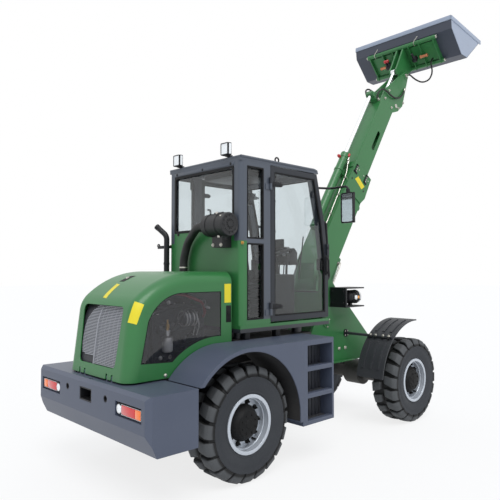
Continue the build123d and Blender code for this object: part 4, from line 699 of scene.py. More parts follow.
clear_lens = lens("clear_lens", srgb(238, 240, 240), 0.12)
lamp_colours = {name: lens(f"{name}_lens", srgb(*tint), 0.18) for name, _, _, *tint in LAMP_LENSES}
for side_name, hand in SIDES:
    shell = bmesh.new()
    shell_low = (LAMP_REAR_X + SHELL_SETBACK, LAMP_SPAN[0], LAMP_LOW.z + SHELL_GAP)
    shell_high = (LAMP_DEEP_X, LAMP_SPAN[1], LAMP_HIGH.z - SHELL_GAP)
    brick(shell, *sided(hand, shell_low, shell_high), SHELL_BEVEL)
    shell_piece = piece(f"tail_shell_{side_name}", shell, satin_black, "rear_body")
    for name, near, far, *_ in LAMP_LENSES:
        glass = bmesh.new()
        lens_low = (LAMP_REAR_X + LENS_DEPTHS[0], near, LAMP_LOW.z + LENS_INSET)
        lens_high = (LAMP_REAR_X + LENS_DEPTHS[1], far, LAMP_HIGH.z - LENS_INSET)
        brick(glass, *sided(hand, lens_low, lens_high), LENS_BEVEL)
        piece(f"tail_{name}_{side_name}", glass, lamp_colours[name], "rear_body")
    white_place = at(LAMP_REAR_X + SURROUND_SETBACK, hand * WHITE_LENS_Y, LAMP_MIDDLE_Z)
    glass = bmesh.new()
    lathe(glass, white_place, REARWARD, WHITE_LENS, 32)
    piece(f"tail_white_{side_name}", glass, clear_lens, "rear_body")
    ring = bmesh.new()
    lathe(ring, white_place, REARWARD, WHITE_RING, 32, closed=True)
    surround_y = (hand * (LAMP_SPAN[0] + SURROUND_INSETS[0]), hand * (LAMP_SPAN[1] - SURROUND_INSETS[1]))
    surround_z = (LAMP_LOW.z + SURROUND_EDGE, LAMP_HIGH.z - SURROUND_EDGE)
    surround = rear_loop(LAMP_REAR_X + SURROUND_SETBACK, surround_y, surround_z)
    frame_strip(ring, surround, REARWARD, SURROUND_WIDTH, SURROUND_RISE)
    piece(f"tail_ring_{side_name}", ring, plated, "rear_body")
    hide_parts("tail_lamps")

# Engine: a four cylinder diesel that shows through the hood's side windows, with its rocker
# cover, manifold, filters, generator, pipes and the radiator behind the grille.
engine_grey = coated("engine_grey", srgb(48, 51, 55), 0.6, mottle=0.2, dust=0.10, grain_scale=90, relief=0.2)
hose_black = coated(
    "hose_black", srgb(26, 26, 28), 0.58, mottle=0.15, dust=0.08, grain_scale=300, relief=0.12)
pipe_red = coated("pipe_red", srgb(150, 26, 30), 0.35, coat=0.3, mottle=0.08, dust=0.05)
filter_white = coated("filter_white", srgb(214, 212, 204), 0.4, mottle=0.06, dust=0.06)
brass = coated("brass", srgb(190, 150, 82), 0.3, metallic=0.9, mottle=0.12, dust=0.05)
ENGINE_BRICKS = (
    # low corner, high corner: rocker cover, sump side plate, injection pump, rear plate
    ((-0.590, -0.150, 1.470), (-0.110, 0.150, 1.560)),
    ((-0.600, -0.300, 0.960), (-0.100, 0.300, 1.060)),
    ((-0.330, -0.350, 1.110), (-0.140, -0.270, 1.230)),
    ((-0.660, -0.240, 0.940), (-0.610, 0.240, 1.420)),
)
ENGINE_BEVEL = 0.012
ENGINE_LATHES = (
    # centre, axis, profile along and round: manifold, generator, pulley, oil filter
    ((-0.590, -0.315, 1.300), FORWARD, ((0, 0), (0, 0.036), (0.46, 0.036), (0.46, 0))),
    ((-0.380, -0.375, 1.380), FORWARD,
     ((0, 0), (0, 0.055), (0.02, 0.068), (0.10, 0.068), (0.12, 0.055), (0.12, 0))),
    ((-0.690, -0.10, 1.240), REARWARD,
     ((0, 0), (0, 0.10), (0.02, 0.10), (0.03, 0.05), (0.05, 0.05), (0.05, 0))),
    ((-0.400, -0.350, 1.000), UPWARD, ((0, 0), (0, 0.040), (0.010, 0.046), (0.10, 0.046), (0.10, 0))),
)
ENGINE_PORTS_X = (-0.530, -0.415, -0.300, -0.185)
ENGINE_PORTS = (
    # inner end y, z, outer end y, z, radius, segments: exhaust, inlet
    (-0.27, 1.320, -0.315, 1.310, 0.026, 14),
    (-0.12, 1.430, -0.28, 1.440, 0.016, 12),
)
ENGINE_PIPES = (
    # kind, radius, path
    ("red", 0.015, ((-0.520, -0.300, 1.600), (-0.330, -0.335, 1.588), (-0.120, -0.345, 1.510),
                    (-0.070, -0.310, 1.400), (-0.068, -0.24, 1.36))),
    ("red", 0.010, ((-0.430, -0.330, 1.050), (-0.300, -0.380, 1.090), (-0.170, -0.370, 1.060))),
    ("black", 0.022, ((-0.780, -0.220, 1.440), (-0.660, -0.330, 1.440), (-0.500, -0.360, 1.480),
                      (-0.360, -0.340, 1.500), (-0.250, -0.27, 1.470))),
    ("black", 0.026, ((-0.780, -0.250, 1.020), (-0.680, -0.380, 1.000), (-0.560, -0.390, 1.010),
                      (-0.470, -0.28, 1.000))),
    ("black", 0.012, ((-0.520, -0.360, 1.240), (-0.460, -0.400, 1.330), (-0.360, -0.400, 1.470),
                      (-0.200, -0.380, 1.450), (-0.120, -0.28, 1.330))),
    ("black", 0.010, ((-0.520, -0.345, 1.200), (-0.440, -0.380, 1.160), (-0.340, -0.360, 1.150),
                      (-0.240, -0.352, 1.170))),
    ("black", 0.007, ((-0.300, -0.352, 1.215), (-0.270, -0.400, 1.290), (-0.210, -0.340, 1.360),
                      (-0.180, -0.29, 1.380))),
    ("zinc", 0.006, ((-0.240, -0.352, 1.225), (-0.225, -0.370, 1.330), (-0.280, -0.320, 1.430),
                     (-0.300, -0.15, 1.500))),
    ("zinc", 0.006, ((-0.200, -0.352, 1.225), (-0.180, -0.370, 1.320), (-0.190, -0.320, 1.420),
                     (-0.200, -0.15, 1.500))),
)
PIPE_BEND = 0.05
FILTER_PLACE = (-0.520, -0.360)
FILTER_BOWL = ((0, 0), (0, 0.036), (0.012, 0.046), (0.085, 0.046), (0.095, 0.040), (0.095, 0))
FILTER_HEAD = ((0, 0), (0, 0.050), (0.03, 0.050), (0.05, 0.026), (0.09, 0.026), (0.09, 0))
FILTER_KNOB = ((0, 0), (0, 0.013), (0.02, 0.020), (0.05, 0.020), (0.06, 0.010), (0.09, 0.008), (0.09, 0))
FILTER_LEVELS = (1.105, 1.200, 1.290)
GENERATOR_PLACE = (-0.375, 1.380)
GENERATOR_FINS_X = (-0.375, -0.345, -0.300, -0.270)
PIPE_CAPS = ((-0.170, 1.060), (-0.150, 1.062), (-0.100, 1.470), (-0.085, 1.462))
ENGINE_BOLTS = (
    (-0.585, 1.440), (-0.470, 1.520), (-0.060, 1.120), (-0.250, 1.050), (-0.350, 1.050), (-0.450, 1.050),
    (-0.550, 1.050),
)
ENGINE_BOLT_SIZE = 0.026
ENGINE_SIDE_Y = -0.301
HOSE_CLIPS = ((-0.670, -0.325, 1.443), (-0.690, -0.365, 1.002), (-0.118, -0.344, 1.508))
RADIATOR = ((-0.880, -0.300, 0.960), (-0.780, 0.300, 1.500))
RADIATOR_BEVEL = 0.008
FAN_Z = 1.230
FAN_SHROUD_X = -0.770
FAN_BOSS_X = -0.760
FAN_X = -0.735
FAN_BLADES = 7
FAN_REACH = (0.05, 0.245)
FAN_TWIST = 0.03
FAN_HALF_WIDTH = 0.045
FAN_THICK = 0.004
dress(engine_grey, "engine_block")


def button(mesh, centre, axis, radius, side, top, crown, segments, foot=0.0):
    """Turned head: straight from its foot up to side, then drawn in to the crown's radius at the top."""
    profile = ((foot, 0), (foot, radius), (side, radius), (top, crown), (top, 0))
    lathe(mesh, centre, axis, profile, segments)


def band(mesh, centre, axis, inner, outer, width, segments, start=0.0):
    """Turned ring between two radii."""
    end = start + width
    profile = ((start, inner), (start, outer), (end, outer), (end, inner))
    lathe(mesh, centre, axis, profile, segments, closed=True)


pipe_meshes = {"red": bmesh.new(), "black": bmesh.new(), "zinc": bmesh.new()}
for kind, radius, path in ENGINE_PIPES:
    for hand in HANDS:
        tube(pipe_meshes[kind], [at(x, hand * y, z) for x, y, z in path], radius, PIPE_BEND, 12)
zinc = pipe_meshes["zinc"]
castings = bmesh.new()
canister = bmesh.new()
knobs = bmesh.new()
for low, high in ENGINE_BRICKS:
    brick(castings, low, high, ENGINE_BEVEL)
for hand in HANDS:
    side_way = (0, -hand, 0)
    for (x, y, z), axis, profile in ENGINE_LATHES:
        lathe(castings, at(x, hand * y, z), axis, profile, 28)
    for port in ENGINE_PORTS_X:
        for near_y, near_z, far_y, far_z, radius, segments in ENGINE_PORTS:
            ends = [at(port, hand * near_y, near_z), at(port, hand * far_y, far_z)]
            tube(castings, ends, radius, 0, segments)
    bowl, head, knob = (at(FILTER_PLACE[0], hand * FILTER_PLACE[1], z) for z in FILTER_LEVELS)
    lathe(canister, bowl, UPWARD, FILTER_BOWL, 28)
    lathe(zinc, head, UPWARD, FILTER_HEAD, 24)
    lathe(knobs, knob, UPWARD, FILTER_KNOB, 16)
    generator_y, generator_z = GENERATOR_PLACE
    for x, z in PIPE_CAPS:
        button(canister, at(x, hand * generator_y, z), side_way, 0.011, 0.012, 0.016, 0.007, 16, foot=-0.02)
    for x in GENERATOR_FINS_X:
        band(zinc, at(x, hand * generator_y, generator_z), FORWARD, 0.060, 0.0715, 0.012, 28)
    for x, z in ENGINE_BOLTS:
        bolt(zinc, at(x, hand * ENGINE_SIDE_Y, z), side_way, ENGINE_BOLT_SIZE)
    for x, y, z in HOSE_CLIPS:
        band(zinc, at(x, hand * y, z), FORWARD, 0.020, 0.028, 0.014, 18)
piece("engine_dress", castings, engine_grey, "rear_body")
piece("engine_hoses", pipe_meshes["black"], hose_black, "rear_body")
piece("engine_red_pipes", pipe_meshes["red"], pipe_red, "rear_body")
piece("fuel_filter", canister, filter_white, "rear_body")
piece("engine_brass", knobs, brass, "rear_body")
piece("engine_zinc", zinc, bright_zinc, "rear_body")
radiator = bmesh.new()
brick(radiator, *RADIATOR, RADIATOR_BEVEL)
band(radiator, at(FAN_SHROUD_X, 0, FAN_Z), FORWARD, 0.255, 0.275, 0.08, 48)
for index in range(FAN_BLADES):
    turn = 2 * math.pi * index / FAN_BLADES
    spoke = Vector((0, math.cos(turn), math.sin(turn)))
    half = Vector((FAN_TWIST, -math.sin(turn) * FAN_HALF_WIDTH, math.cos(turn) * FAN_HALF_WIDTH))
    root, tip = (at(FAN_X, 0, FAN_Z) + spoke * reach for reach in FAN_REACH)
    slab(radiator, [root - half, root + half, tip + half, tip - half], (FAN_THICK, 0, 0))
drum(radiator, at(FAN_BOSS_X, 0, FAN_Z), FORWARD, 0.06, 0.10, 28)
piece("radiator", radiator, satin_black, "rear_body")

# Hood: pressed and welded sheet, sprayed a glossy green, hinged at its foot. It has a filler
# slot in its crown, three blank yellow plates, a latch strip and two tinted windows.
GREEN = srgb(46, 114, 60)
green_paint = coated("green_paint", GREEN, 0.38, coat=0.10, mottle=0.05, dust=0.02, grain_scale=320)
plate_yellow = coated("plate_yellow", srgb(232, 214, 40), 0.45, mottle=0.05, dust=0.04)
seal_black = coated(
    "seal_black", srgb(22, 23, 25), 0.6, mottle=0.08, dust=0.03, grain_scale=300, relief=0.06, gloss=0.25)
HOOD_SIDE_Y = 0.495
YELLOW_PLATES = (
    # four corners, the way from outside to the hood
    (((-0.726, 0.125, 1.681), (-0.737, 0.059, 1.675), (-0.886, 0.025, 1.560), (-0.882, 0.090, 1.564)),
     (0.45, 0, -0.9)),
    (((-0.884, -0.427, 1.552), (-0.832, -0.486, 1.527), (-0.895, -0.478, 1.371), (-0.939, -0.416, 1.387)),
     (0.6, 0.7, -0.25)),
    (((0.004, -0.495, 1.678), (0.082, -0.495, 1.678), (0.082, -0.495, 1.508), (0.004, -0.495, 1.508)),
     (0, 1, 0)),
)
PLATE_LIFT = 0.0012
DRAPE_REACH = 0.25
DRAPE_STEPS = 6
HOOD_FITTINGS = (
    # low corner, high corner, rounding: latch strips, latch knob
    ((0.024, -0.4935, 1.330), (0.084, -0.4965, 1.482), 0.001),
    ((0.024, 0.4935, 1.330), (0.084, 0.4965, 1.482), 0.001),
    ((0.040, -0.4935, 1.395), (0.070, -0.503, 1.440), 0.003),
)
FILLER_SLOT = ((-0.690, 0.150, 1.70), (-0.570, 0.150, 1.75), (-0.570, 0.068, 1.75), (-0.690, 0.068, 1.70))
FILLER_WAY = (0.3, 0, -0.95)
FILLER_KEY = ((-0.640, 0.100, 1.722), (-0.610, 0.122, 1.742))
FILLER_KEY_BEVEL = 0.004
HOOD_SCREW = (-0.631, 0.942)
HOOD_SCREW_SIZE = 0.022
WINDOW_FOOT = (-0.865, 1.056)
WINDOW_ARCH = (-0.090, 0.490, 0.725)
WINDOW_ARCH_STEPS = 16
WINDOW_LOW_Z = 1.040
WINDOW_FRONT_X = -0.035
WINDOW_BEND = (-0.456, 1.612)
WINDOW_CURVE = 0.374
WINDOW_CURVE_STEPS = 12
WINDOW_SHOULDER_Z = 1.385
WINDOW_SEAL_DEPTH = 0.004
WINDOW_SEAL_WIDTH = 0.007
WINDOW_SEAL_RISE = 0.0045
dress(green_paint, "hood")


def drape(mesh, node, corners, way):
    """Thin patch between four corners, laid on a solid along a way and raised off it a little."""
    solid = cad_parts[node]
    back = solid.matrix_world.inverted()
    way = Vector(way).normalized()
    inward = (back.to_3x3() @ way).normalized()
    a, b, c, d = (at(*corner) for corner in corners)
    steps = DRAPE_STEPS
    grid = []
    for row in range(steps + 1):
        for column in range(steps + 1):
            across, down = column / steps, row / steps
            point = (a * (1 - across) + b * across) * (1 - down) + (d * (1 - across) + c * across) * down
            hit, place, normal, _ = solid.ray_cast(back @ (point - way * DRAPE_REACH), inward)
            if hit:
                outward = (solid.matrix_world.to_3x3() @ normal).normalized()
                point = solid.matrix_world @ place + outward * PLATE_LIFT
            grid.append(mesh.verts.new(point))
    for row in range(steps):
        for column in range(steps):
            first = row * (steps + 1) + column
            below = first + steps + 1
            mesh.faces.new((grid[first], grid[first + 1], grid[below + 1], grid[below]))


def side_loop(outline, hand, y):
    """Outline of (x, z) stations on one side, its corners anticlockwise as seen from there."""
    return [at(x, hand * y, z) for x, z in (outline if hand < 0 else outline[::-1])]


def arc(centre, radius, turns, steps):
    """Stations along an arc between two turns."""
    first, last = turns
    line = [first + (last - first) * step / steps for step in range(steps + 1)]
    return [(centre[0] + radius * math.cos(turn), centre[1] + radius * math.sin(turn)) for turn in line]


plates = bmesh.new()
for corners, way in YELLOW_PLATES:
    drape(plates, "hood", corners, way)
piece("hood_plates", plates, plate_yellow, "hood")
fittings = bmesh.new()
for low, high, bevel in HOOD_FITTINGS:
    brick(fittings, low, high, bevel)
drape(fittings, "hood", FILLER_SLOT, FILLER_WAY)
arch_x, arch_z, arch_radius = WINDOW_ARCH
arch_turns = (
    math.pi - math.asin((WINDOW_LOW_Z - arch_z) / arch_radius),
    math.acos((WINDOW_FRONT_X - arch_x) / arch_radius),
)
bend_x, bend_z = WINDOW_BEND
curve_z = bend_z - WINDOW_CURVE
curve_turns = (math.pi / 2, math.pi - math.asin((WINDOW_SHOULDER_Z - curve_z) / WINDOW_CURVE))
window_outline = [
    WINDOW_FOOT, *arc((arch_x, arch_z), arch_radius, arch_turns, WINDOW_ARCH_STEPS),
    (WINDOW_FRONT_X, bend_z), *arc((bend_x, curve_z), WINDOW_CURVE, curve_turns, WINDOW_CURVE_STEPS),
]
screws = bmesh.new()
for hand in HANDS:
    loop = side_loop(window_outline, hand, HOOD_SIDE_Y - WINDOW_SEAL_DEPTH)
    frame_strip(fittings, loop, (0, hand, 0), WINDOW_SEAL_WIDTH, WINDOW_SEAL_RISE)
    bolt(screws, at(HOOD_SCREW[0], hand * HOOD_SIDE_Y, HOOD_SCREW[1]), (0, hand, 0), HOOD_SCREW_SIZE)
brick(screws, *FILLER_KEY, FILLER_KEY_BEVEL)
piece("hood_fittings", fittings, seal_black, "hood")
piece("hood_screws", screws, bright_zinc, "hood")

# Glass: flat toughened panes with a faint film of dirt in patches. The hood's windows are
# smoked, and the cab's are clear.
GLASS_IOR = 1.45
FILM_SCALE = 6
FILM_ROUGHNESS = 0.004


def glazed(name, colour):
    """Clear or tinted pane."""
    material = bpy.data.materials.new(name)
    material.use_nodes = True
    tree = material.node_tree
    shader = tree.nodes["Principled BSDF"]
    shader.inputs["Base Color"].default_value = (*colour, 1)
    shader.inputs["Transmission Weight"].default_value = 1.0
    shader.inputs["IOR"].default_value = GLASS_IOR
    film = tree.nodes.new("ShaderNodeTexNoise")
    film.inputs["Scale"].default_value = FILM_SCALE
    smear = tree.nodes.new("ShaderNodeMapRange")
    smear.inputs["To Min"].default_value = 0.0
    smear.inputs["To Max"].default_value = FILM_ROUGHNESS
    place = tree.nodes.new("ShaderNodeTexCoord")
    tree.links.new(place.outputs["Object"], film.inputs["Vector"])
    tree.links.new(film.outputs["Fac"], smear.inputs["Value"])
    tree.links.new(smear.outputs[0], shader.inputs["Roughness"])
    return material


dress(glazed("smoked_glass", srgb(196, 198, 206)), "hood_windows")

# Grille: a radiator screen of thin slats held by an upright bar, set in the hood's rear face
# over a dark backing sheet that is painted shade inside the opening; its bare left side is a
# painted shadow cast by the hood's inner wall.
GRILLE_Z = (1.010, 1.505)
GRILLE_HALVES = (0.300, 0.336)
GRILLE_BAR_Y = 0.062
SKIN_FOOT = (-1.000, 0.916)
SKIN_LEAN = 62 / 504
SKIN_CURL_Z = 1.330
SKIN_CURL = 0.9 / 0.62
SLAT_PITCH = 0.0125
SLAT_HEIGHT = 0.0075
SLAT_SETBACK = 0.009
SLAT_DEPTH = 0.006
SLAT_EDGE = 0.002
SLAT_SHORTEST = 0.02
SLAT_MARGIN = 0.004
SCREEN_EDGE = (
    # height, left end of the slats, where the painted shadow on the bare backing begins
    (1.075, 0.230), (1.090, 0.285), (1.160, 0.302), (1.230, 0.300), (1.300, 0.288), (1.362, 0.268),
    (1.443, 0.215), (1.505, 0.120),
)
WIRES_Y = (-0.255, -0.190, -0.125, -0.060, 0.005)
grille_steel = coated(
    "grille_steel", srgb(158, 160, 166), 0.42, metallic=0.35, mottle=0.10, dust=0.04, grain_scale=400)
# Dark finish of the backing sheet: painted shade inside the grille's opening.
grille_painted_shade = coated("grille_painted_shade", srgb(44, 46, 52), 0.55, mottle=0.10, dust=0.04, grain_scale=300)


def skin_x(z):
    """Station of the hood's rear skin at this height, leaning first and then curling over."""
    over = max(0.0, z - SKIN_CURL_Z)
    return SKIN_FOOT[0] + SKIN_LEAN * (z - SKIN_FOOT[1]) + over * over * SKIN_CURL


def screen_left(z):
    """Left end of the slats at this height, between the listed ones."""
    for (z0, y0), (z1, y1) in zip(SCREEN_EDGE, SCREEN_EDGE[1:]):
        if z0 <= z <= z1:
            return y0 + (y1 - y0) * (z - z0) / (z1 - z0)
    return 0.0


def leaning_bar(mesh, y, halves, setback, depth, z_ends, steps=8):
    """Upright bar or sheet that follows the rear skin, from one half width at its foot to another."""
    rows = []
    for step in range(steps + 1):
        z = z_ends[0] + (z_ends[1] - z_ends[0]) * step / steps
        half = halves[0] + (halves[1] - halves[0]) * step / steps
        near = skin_x(z) + setback
        far = near + depth
        corners = ((near, y - half), (near, y + half), (far, y + half), (far, y - half))
        rows.append([at(*corner, z) for corner in corners])
    loft(mesh, rows)


# The dark backing is painted shade, and its bare left side is a painted shadow.
shade_backing = bmesh.new()
leaning_bar(shade_backing, 0, (0.316, 0.352), 0.020, 0.006, (0.995, 1.519), 12)
shade_backing_piece = piece("grille_shade_backing", shade_backing, grille_painted_shade, "hood")
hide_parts("grille")
slats = bmesh.new()
grille_low, grille_high = GRILLE_Z
level = grille_low + SLAT_MARGIN
while level + SLAT_HEIGHT < grille_high:
    share = (level - grille_low) / (grille_high - grille_low)
    half = GRILLE_HALVES[0] + (GRILLE_HALVES[1] - GRILLE_HALVES[0]) * share
    slat_x = skin_x(level) + SLAT_SETBACK
    for near, far in ((-half + SLAT_EDGE, GRILLE_BAR_Y), (GRILLE_BAR_Y, screen_left(level))):
        if far - near > SLAT_SHORTEST:
            brick(slats, (slat_x, near, level), (slat_x + SLAT_DEPTH, far, level + SLAT_HEIGHT))
    level += SLAT_PITCH
wires_z = (grille_low + SLAT_MARGIN, grille_high - SLAT_MARGIN)
for y in WIRES_Y:
    leaning_bar(slats, y, (0.0012, 0.0012), 0.0075, 0.006, wires_z)
leaning_bar(slats, GRILLE_BAR_Y, (0.006, 0.006), 0.003, 0.012, GRILLE_Z)
piece("grille_slats", slats, grille_steel, "hood")

# Rear mudguards: bent and welded sheet, blue-grey outside, with a thin black sheet under the
# arch that is painted shade, and a turned lip round it.
ARCH_CENTRE = (-0.090, 0.490)
ARCH_RADIUS = 0.632
ARCH_Y = (0.508, 0.926)
ARCH_TURNS = (math.radians(139), math.radians(-5))
ARCH_STEPS = 24
SHADE_SHEET_DEPTHS = (0.0005, 0.004)
# Black finish that paints the shade under the rear arches.
arch_shade_black = coated(
    "arch_shade_black", srgb(24, 25, 29), 0.85, mottle=0.15, dust=0.10, grain_scale=150, relief=0.25)
dress(guard_grey, "rear_mudguards")
shade_top, shade_face = (arc(ARCH_CENTRE, ARCH_RADIUS - depth, ARCH_TURNS, ARCH_STEPS) for depth in SHADE_SHEET_DEPTHS)
for side_name, hand in SIDES:
    # Each black sheet under the arch is painted shade.
    coat = bmesh.new()
    near, far = (hand * y for y in ARCH_Y)
    rows = []
    for (top_x, top_z), (face_x, face_z) in zip(shade_top, shade_face):
        rows.append([
            at(top_x, near, top_z), at(top_x, far, top_z), at(face_x, far, face_z), at(face_x, near, face_z),
        ])
    loft(coat, rows)
    piece(f"arch_shade_sheet_{side_name}", coat, arch_shade_black, "rear_body")

# Steps: three footholds let into the box ahead of each rear wheel, with folded nosings,
# ribbed back plates and pressed studs underfoot.
STEP_X = (0.641, 0.999)
STEP_BACK_Y = 0.784
STEP_TREADS = (
    # tread level, top of the foothold
    (0.400, 0.622),
    (0.648, 0.868),
    (0.894, 1.105),
)
NOSING_X = (0.600, 1.0245)
NOSING_Y = (0.9335, 0.874)
NOSING_RISE = (-0.022, 0.016)
NOSING_BEVEL = 0.005
NOSING_STUDS = 14
NOSING_STUD_X = (0.620, 0.0295)
NOSING_STUD_Y = (0.916, 0.892)
NOSING_STUD = ((0, 0.007), (0.003, 0.005), (0.003, 0))
TREAD_END_Y = 0.872
LINING_FACE = 0.003
RIBS = 7
RIB_X = (0.670, 0.050)
RIB_HALF = 0.006
RIB_DEPTH = 0.012
RIB_MARGIN = 0.010
RIB_BEVEL = 0.002
TREAD_STUDS_Y = (0.805, 0.840)
TREAD_STUD = ((0, 0.012), (0.004, 0.009), (0.004, 0.0))
step_dark = coated("step_dark", srgb(46, 50, 60), 0.5, mottle=0.08, dust=0.12, grain_scale=220)
dress(guard_grey, "step_boxes")
for side_name, hand in SIDES:
    nosing = bmesh.new()
    lined = bmesh.new()
    for low, high in STEP_TREADS:
        nosing_low = (NOSING_X[0], NOSING_Y[0], low + NOSING_RISE[0])
        nosing_high = (NOSING_X[1], NOSING_Y[1], low + NOSING_RISE[1])
        brick(nosing, *sided(hand, nosing_low, nosing_high), NOSING_BEVEL)
        face_y = STEP_BACK_Y + LINING_FACE
        back_low = (STEP_X[0], STEP_BACK_Y + 0.0005, low + 0.001)
        brick(lined, *sided(hand, back_low, (STEP_X[1], face_y, high - 0.001)))
        tread_low = (STEP_X[0], face_y, low + 0.0005)
        brick(lined, *sided(hand, tread_low, (STEP_X[1], TREAD_END_Y, low + LINING_FACE)))
        for index in range(RIBS):
            x = RIB_X[0] + RIB_X[1] * index
            rib_low = (x - RIB_HALF, STEP_BACK_Y, low + RIB_MARGIN)
            rib_high = (x + RIB_HALF, STEP_BACK_Y + RIB_DEPTH, high - RIB_MARGIN)
            brick(lined, *sided(hand, rib_low, rib_high), RIB_BEVEL)
            for y in TREAD_STUDS_Y:
                lathe(lined, at(x, hand * y, low + LINING_FACE), UPWARD, TREAD_STUD, 10)
        for index in range(NOSING_STUDS):
            x = NOSING_STUD_X[0] + NOSING_STUD_X[1] * index
            stud_place = at(x, hand * NOSING_STUD_Y[index % 2], low + NOSING_RISE[1])
            lathe(nosing, stud_place, UPWARD, NOSING_STUD, 8)
    piece(f"step_nosings_{side_name}", nosing, guard_grey, "rear_body")
    piece(f"step_linings_{side_name}", lined, step_dark, "rear_body")

# Cab: welded steel tube and sheet on rubber mounts. Pillars and roof are dark grey; the rear
# panel, the sill and the foot of the front are green. Black rubber holds the panes.
CAB_DARK = srgb(74, 81, 92)
CAB_FLOOR_DARK = srgb(40, 43, 50)
CAB_TONES = (
    # node, colour below, colour above, height of the change
    ("cab_sides", GREEN, CAB_DARK, 1.338),
    ("cab_front", GREEN, CAB_DARK, 1.880),
    ("cab_floor", CAB_FLOOR_DARK, GREEN, 1.262),
)
CAB_HALF = 0.558
CAB_REAR_X = 0.143
REAR_PANE_Y = (-0.470, 0.470)
REAR_PANE_Z = (2.182, 2.780)
QUARTER_X = (0.225, 0.445)
QUARTER_PANES = ((1.340, 2.055), (2.097, 2.780))
PILLAR_SEAL = ((0.5355, 0.530, 1.300), (0.5425, 0.556, 2.816))
SCREEN_HALF = 0.458
SCREEN_LINE = ((1.410, 1.560), (1.410, 1.893), (1.352, 2.300), (1.237, 2.762))
SCREEN_SEAL = 0.011
ROOF_Z = 2.872
ROOF_TRIM = 0.0125
ROOF_TRIM_LINE = (
    # station, in from the cab's side, down from the roof's top
    (0.150, 0.004, 0.012), (1.205, 0.004, 0.012), (1.248, 0.010, 0.026),
)
ROOF_BRICKS = (
    # low corner, high corner, rounding: rear gutter, pressed panel
    ((0.1375, -0.470, 2.786), (0.150, 0.470, 2.816), 0.004),
    ((0.300, -0.420, 2.870), (1.060, 0.420, 2.884), 0.010),
)
EYE_PLACE = (0.683, 0.505)
EYE_RING = 0.026
EYE_BAR = 0.008
EYE_FOOT = ((0, 0), (0, 0.026), (0.006, 0.026), (0.008, 0.014), (0.014, 0))
CAB_MOUNTS_X = (0.232, 0.640)
CAB_MOUNT = ((0.0, 0.470, 1.156), (0.060, 0.530, 1.226))
REAR_SCREWS = ((0.425, 2.800), (-0.425, 2.800), (0.0, 2.800), (0.400, 2.170), (-0.120, 2.170))
REAR_SCREW_X = 0.1405
CATCH_PLATE = ((0.148, 0.5575, 2.040), (0.178, 0.5640, 2.070))
CATCH_PLACE = (0.163, 0.560, 2.055)
cab_grey = coated("cab_grey", CAB_DARK, 0.40, coat=0.15, mottle=0.05, dust=0.05, grain_scale=300)


def two_tone(name, low_colour, high_colour, level):
    """Cab finish that changes colour at a height."""
    material = coated(name, high_colour, 0.36, coat=0.2, mottle=0.05, dust=0.05, grain_scale=300)
    tree = material.node_tree
    above = reckoner(tree)("GREATER_THAN", split_place(tree)["Z"], level)
    tree.links.new(blended(tree, above, low_colour, high_colour), weather_inputs(tree)["Colour"])
    return material


for node, below, above, level in CAB_TONES:
    dress(two_tone(f"{node}_tones", below, above, level), node)
dress(cab_grey, "cab_roof", "cab_rear_frame")
dress(green_paint, "cab_rear_panel")
seals = bmesh.new()
pane_loop = rounded(rear_loop(CAB_REAR_X + 0.012, REAR_PANE_Y, REAR_PANE_Z), 0.035)
frame_strip(seals, pane_loop, REARWARD, 0.026, 0.0145)
for hand in HANDS:
    for low, high in QUARTER_PANES:
        corners = [(QUARTER_X[0], low), (QUARTER_X[1], low), (QUARTER_X[1], high), (QUARTER_X[0], high)]
        pane_loop = rounded(side_loop(corners, hand, CAB_HALF - 0.027), 0.022)
        frame_strip(seals, pane_loop, (0, hand, 0), 0.014, 0.0285)
    brick(seals, *sided(hand, *PILLAR_SEAL), 0.001)
    tube(seals, [at(x, hand * (SCREEN_HALF - 0.006), z) for x, z in SCREEN_LINE], SCREEN_SEAL, 0.03)
for x, z in (SCREEN_LINE[0], SCREEN_LINE[-1]):
    tube(seals, [at(x, -SCREEN_HALF, z), at(x, SCREEN_HALF, z)], SCREEN_SEAL)
piece("cab_seals", seals, seal_black, "rear_body")
trims = bmesh.new()
for hand in HANDS:
    tube(trims, [at(x, hand * (CAB_HALF - inset), ROOF_Z - drop) for x, inset, drop in ROOF_TRIM_LINE],
         ROOF_TRIM, 0.03)
tube(trims, [at(0.150, side * (CAB_HALF - 0.004), ROOF_Z - 0.014) for side in (-1, 1)], ROOF_TRIM)
for low, high, bevel in ROOF_BRICKS:
    brick(trims, low, high, bevel)
piece("roof_trims", trims, cab_grey, "rear_body")
eyes = bmesh.new()
catch = bmesh.new()
eye_turns = (math.radians(-60), math.radians(240))
for hand in HANDS:
    eye_x, eye_y = EYE_PLACE
    eye_line = arc((eye_x, ROOF_Z + EYE_RING), EYE_RING, eye_turns, 10)
    tube(eyes, [at(x, hand * eye_y, z) for x, z in eye_line], EYE_BAR)
    lathe(eyes, at(eye_x, hand * eye_y, ROOF_Z - 0.001), UPWARD, EYE_FOOT, 20)
    for x in CAB_MOUNTS_X:
        low, high = ((x + along, y, z) for along, y, z in CAB_MOUNT)
        brick(eyes, *sided(hand, low, high), 0.004)
    brick(catch, *sided(hand, *CATCH_PLATE), 0.002)
    x, y, z = CATCH_PLACE
    button(catch, at(x, hand * y, z), (0, hand, 0), 0.008, 0.018, 0.020, 0.005, 14)
for y, z in REAR_SCREWS:
    button(eyes, at(REAR_SCREW_X, y, z), REARWARD, 0.014, 0.004, 0.007, 0.009, 16, foot=-0.004)
piece("cab_eyes", eyes, satin_black, "rear_body")
piece("cab_catches", catch, brass, "rear_body")

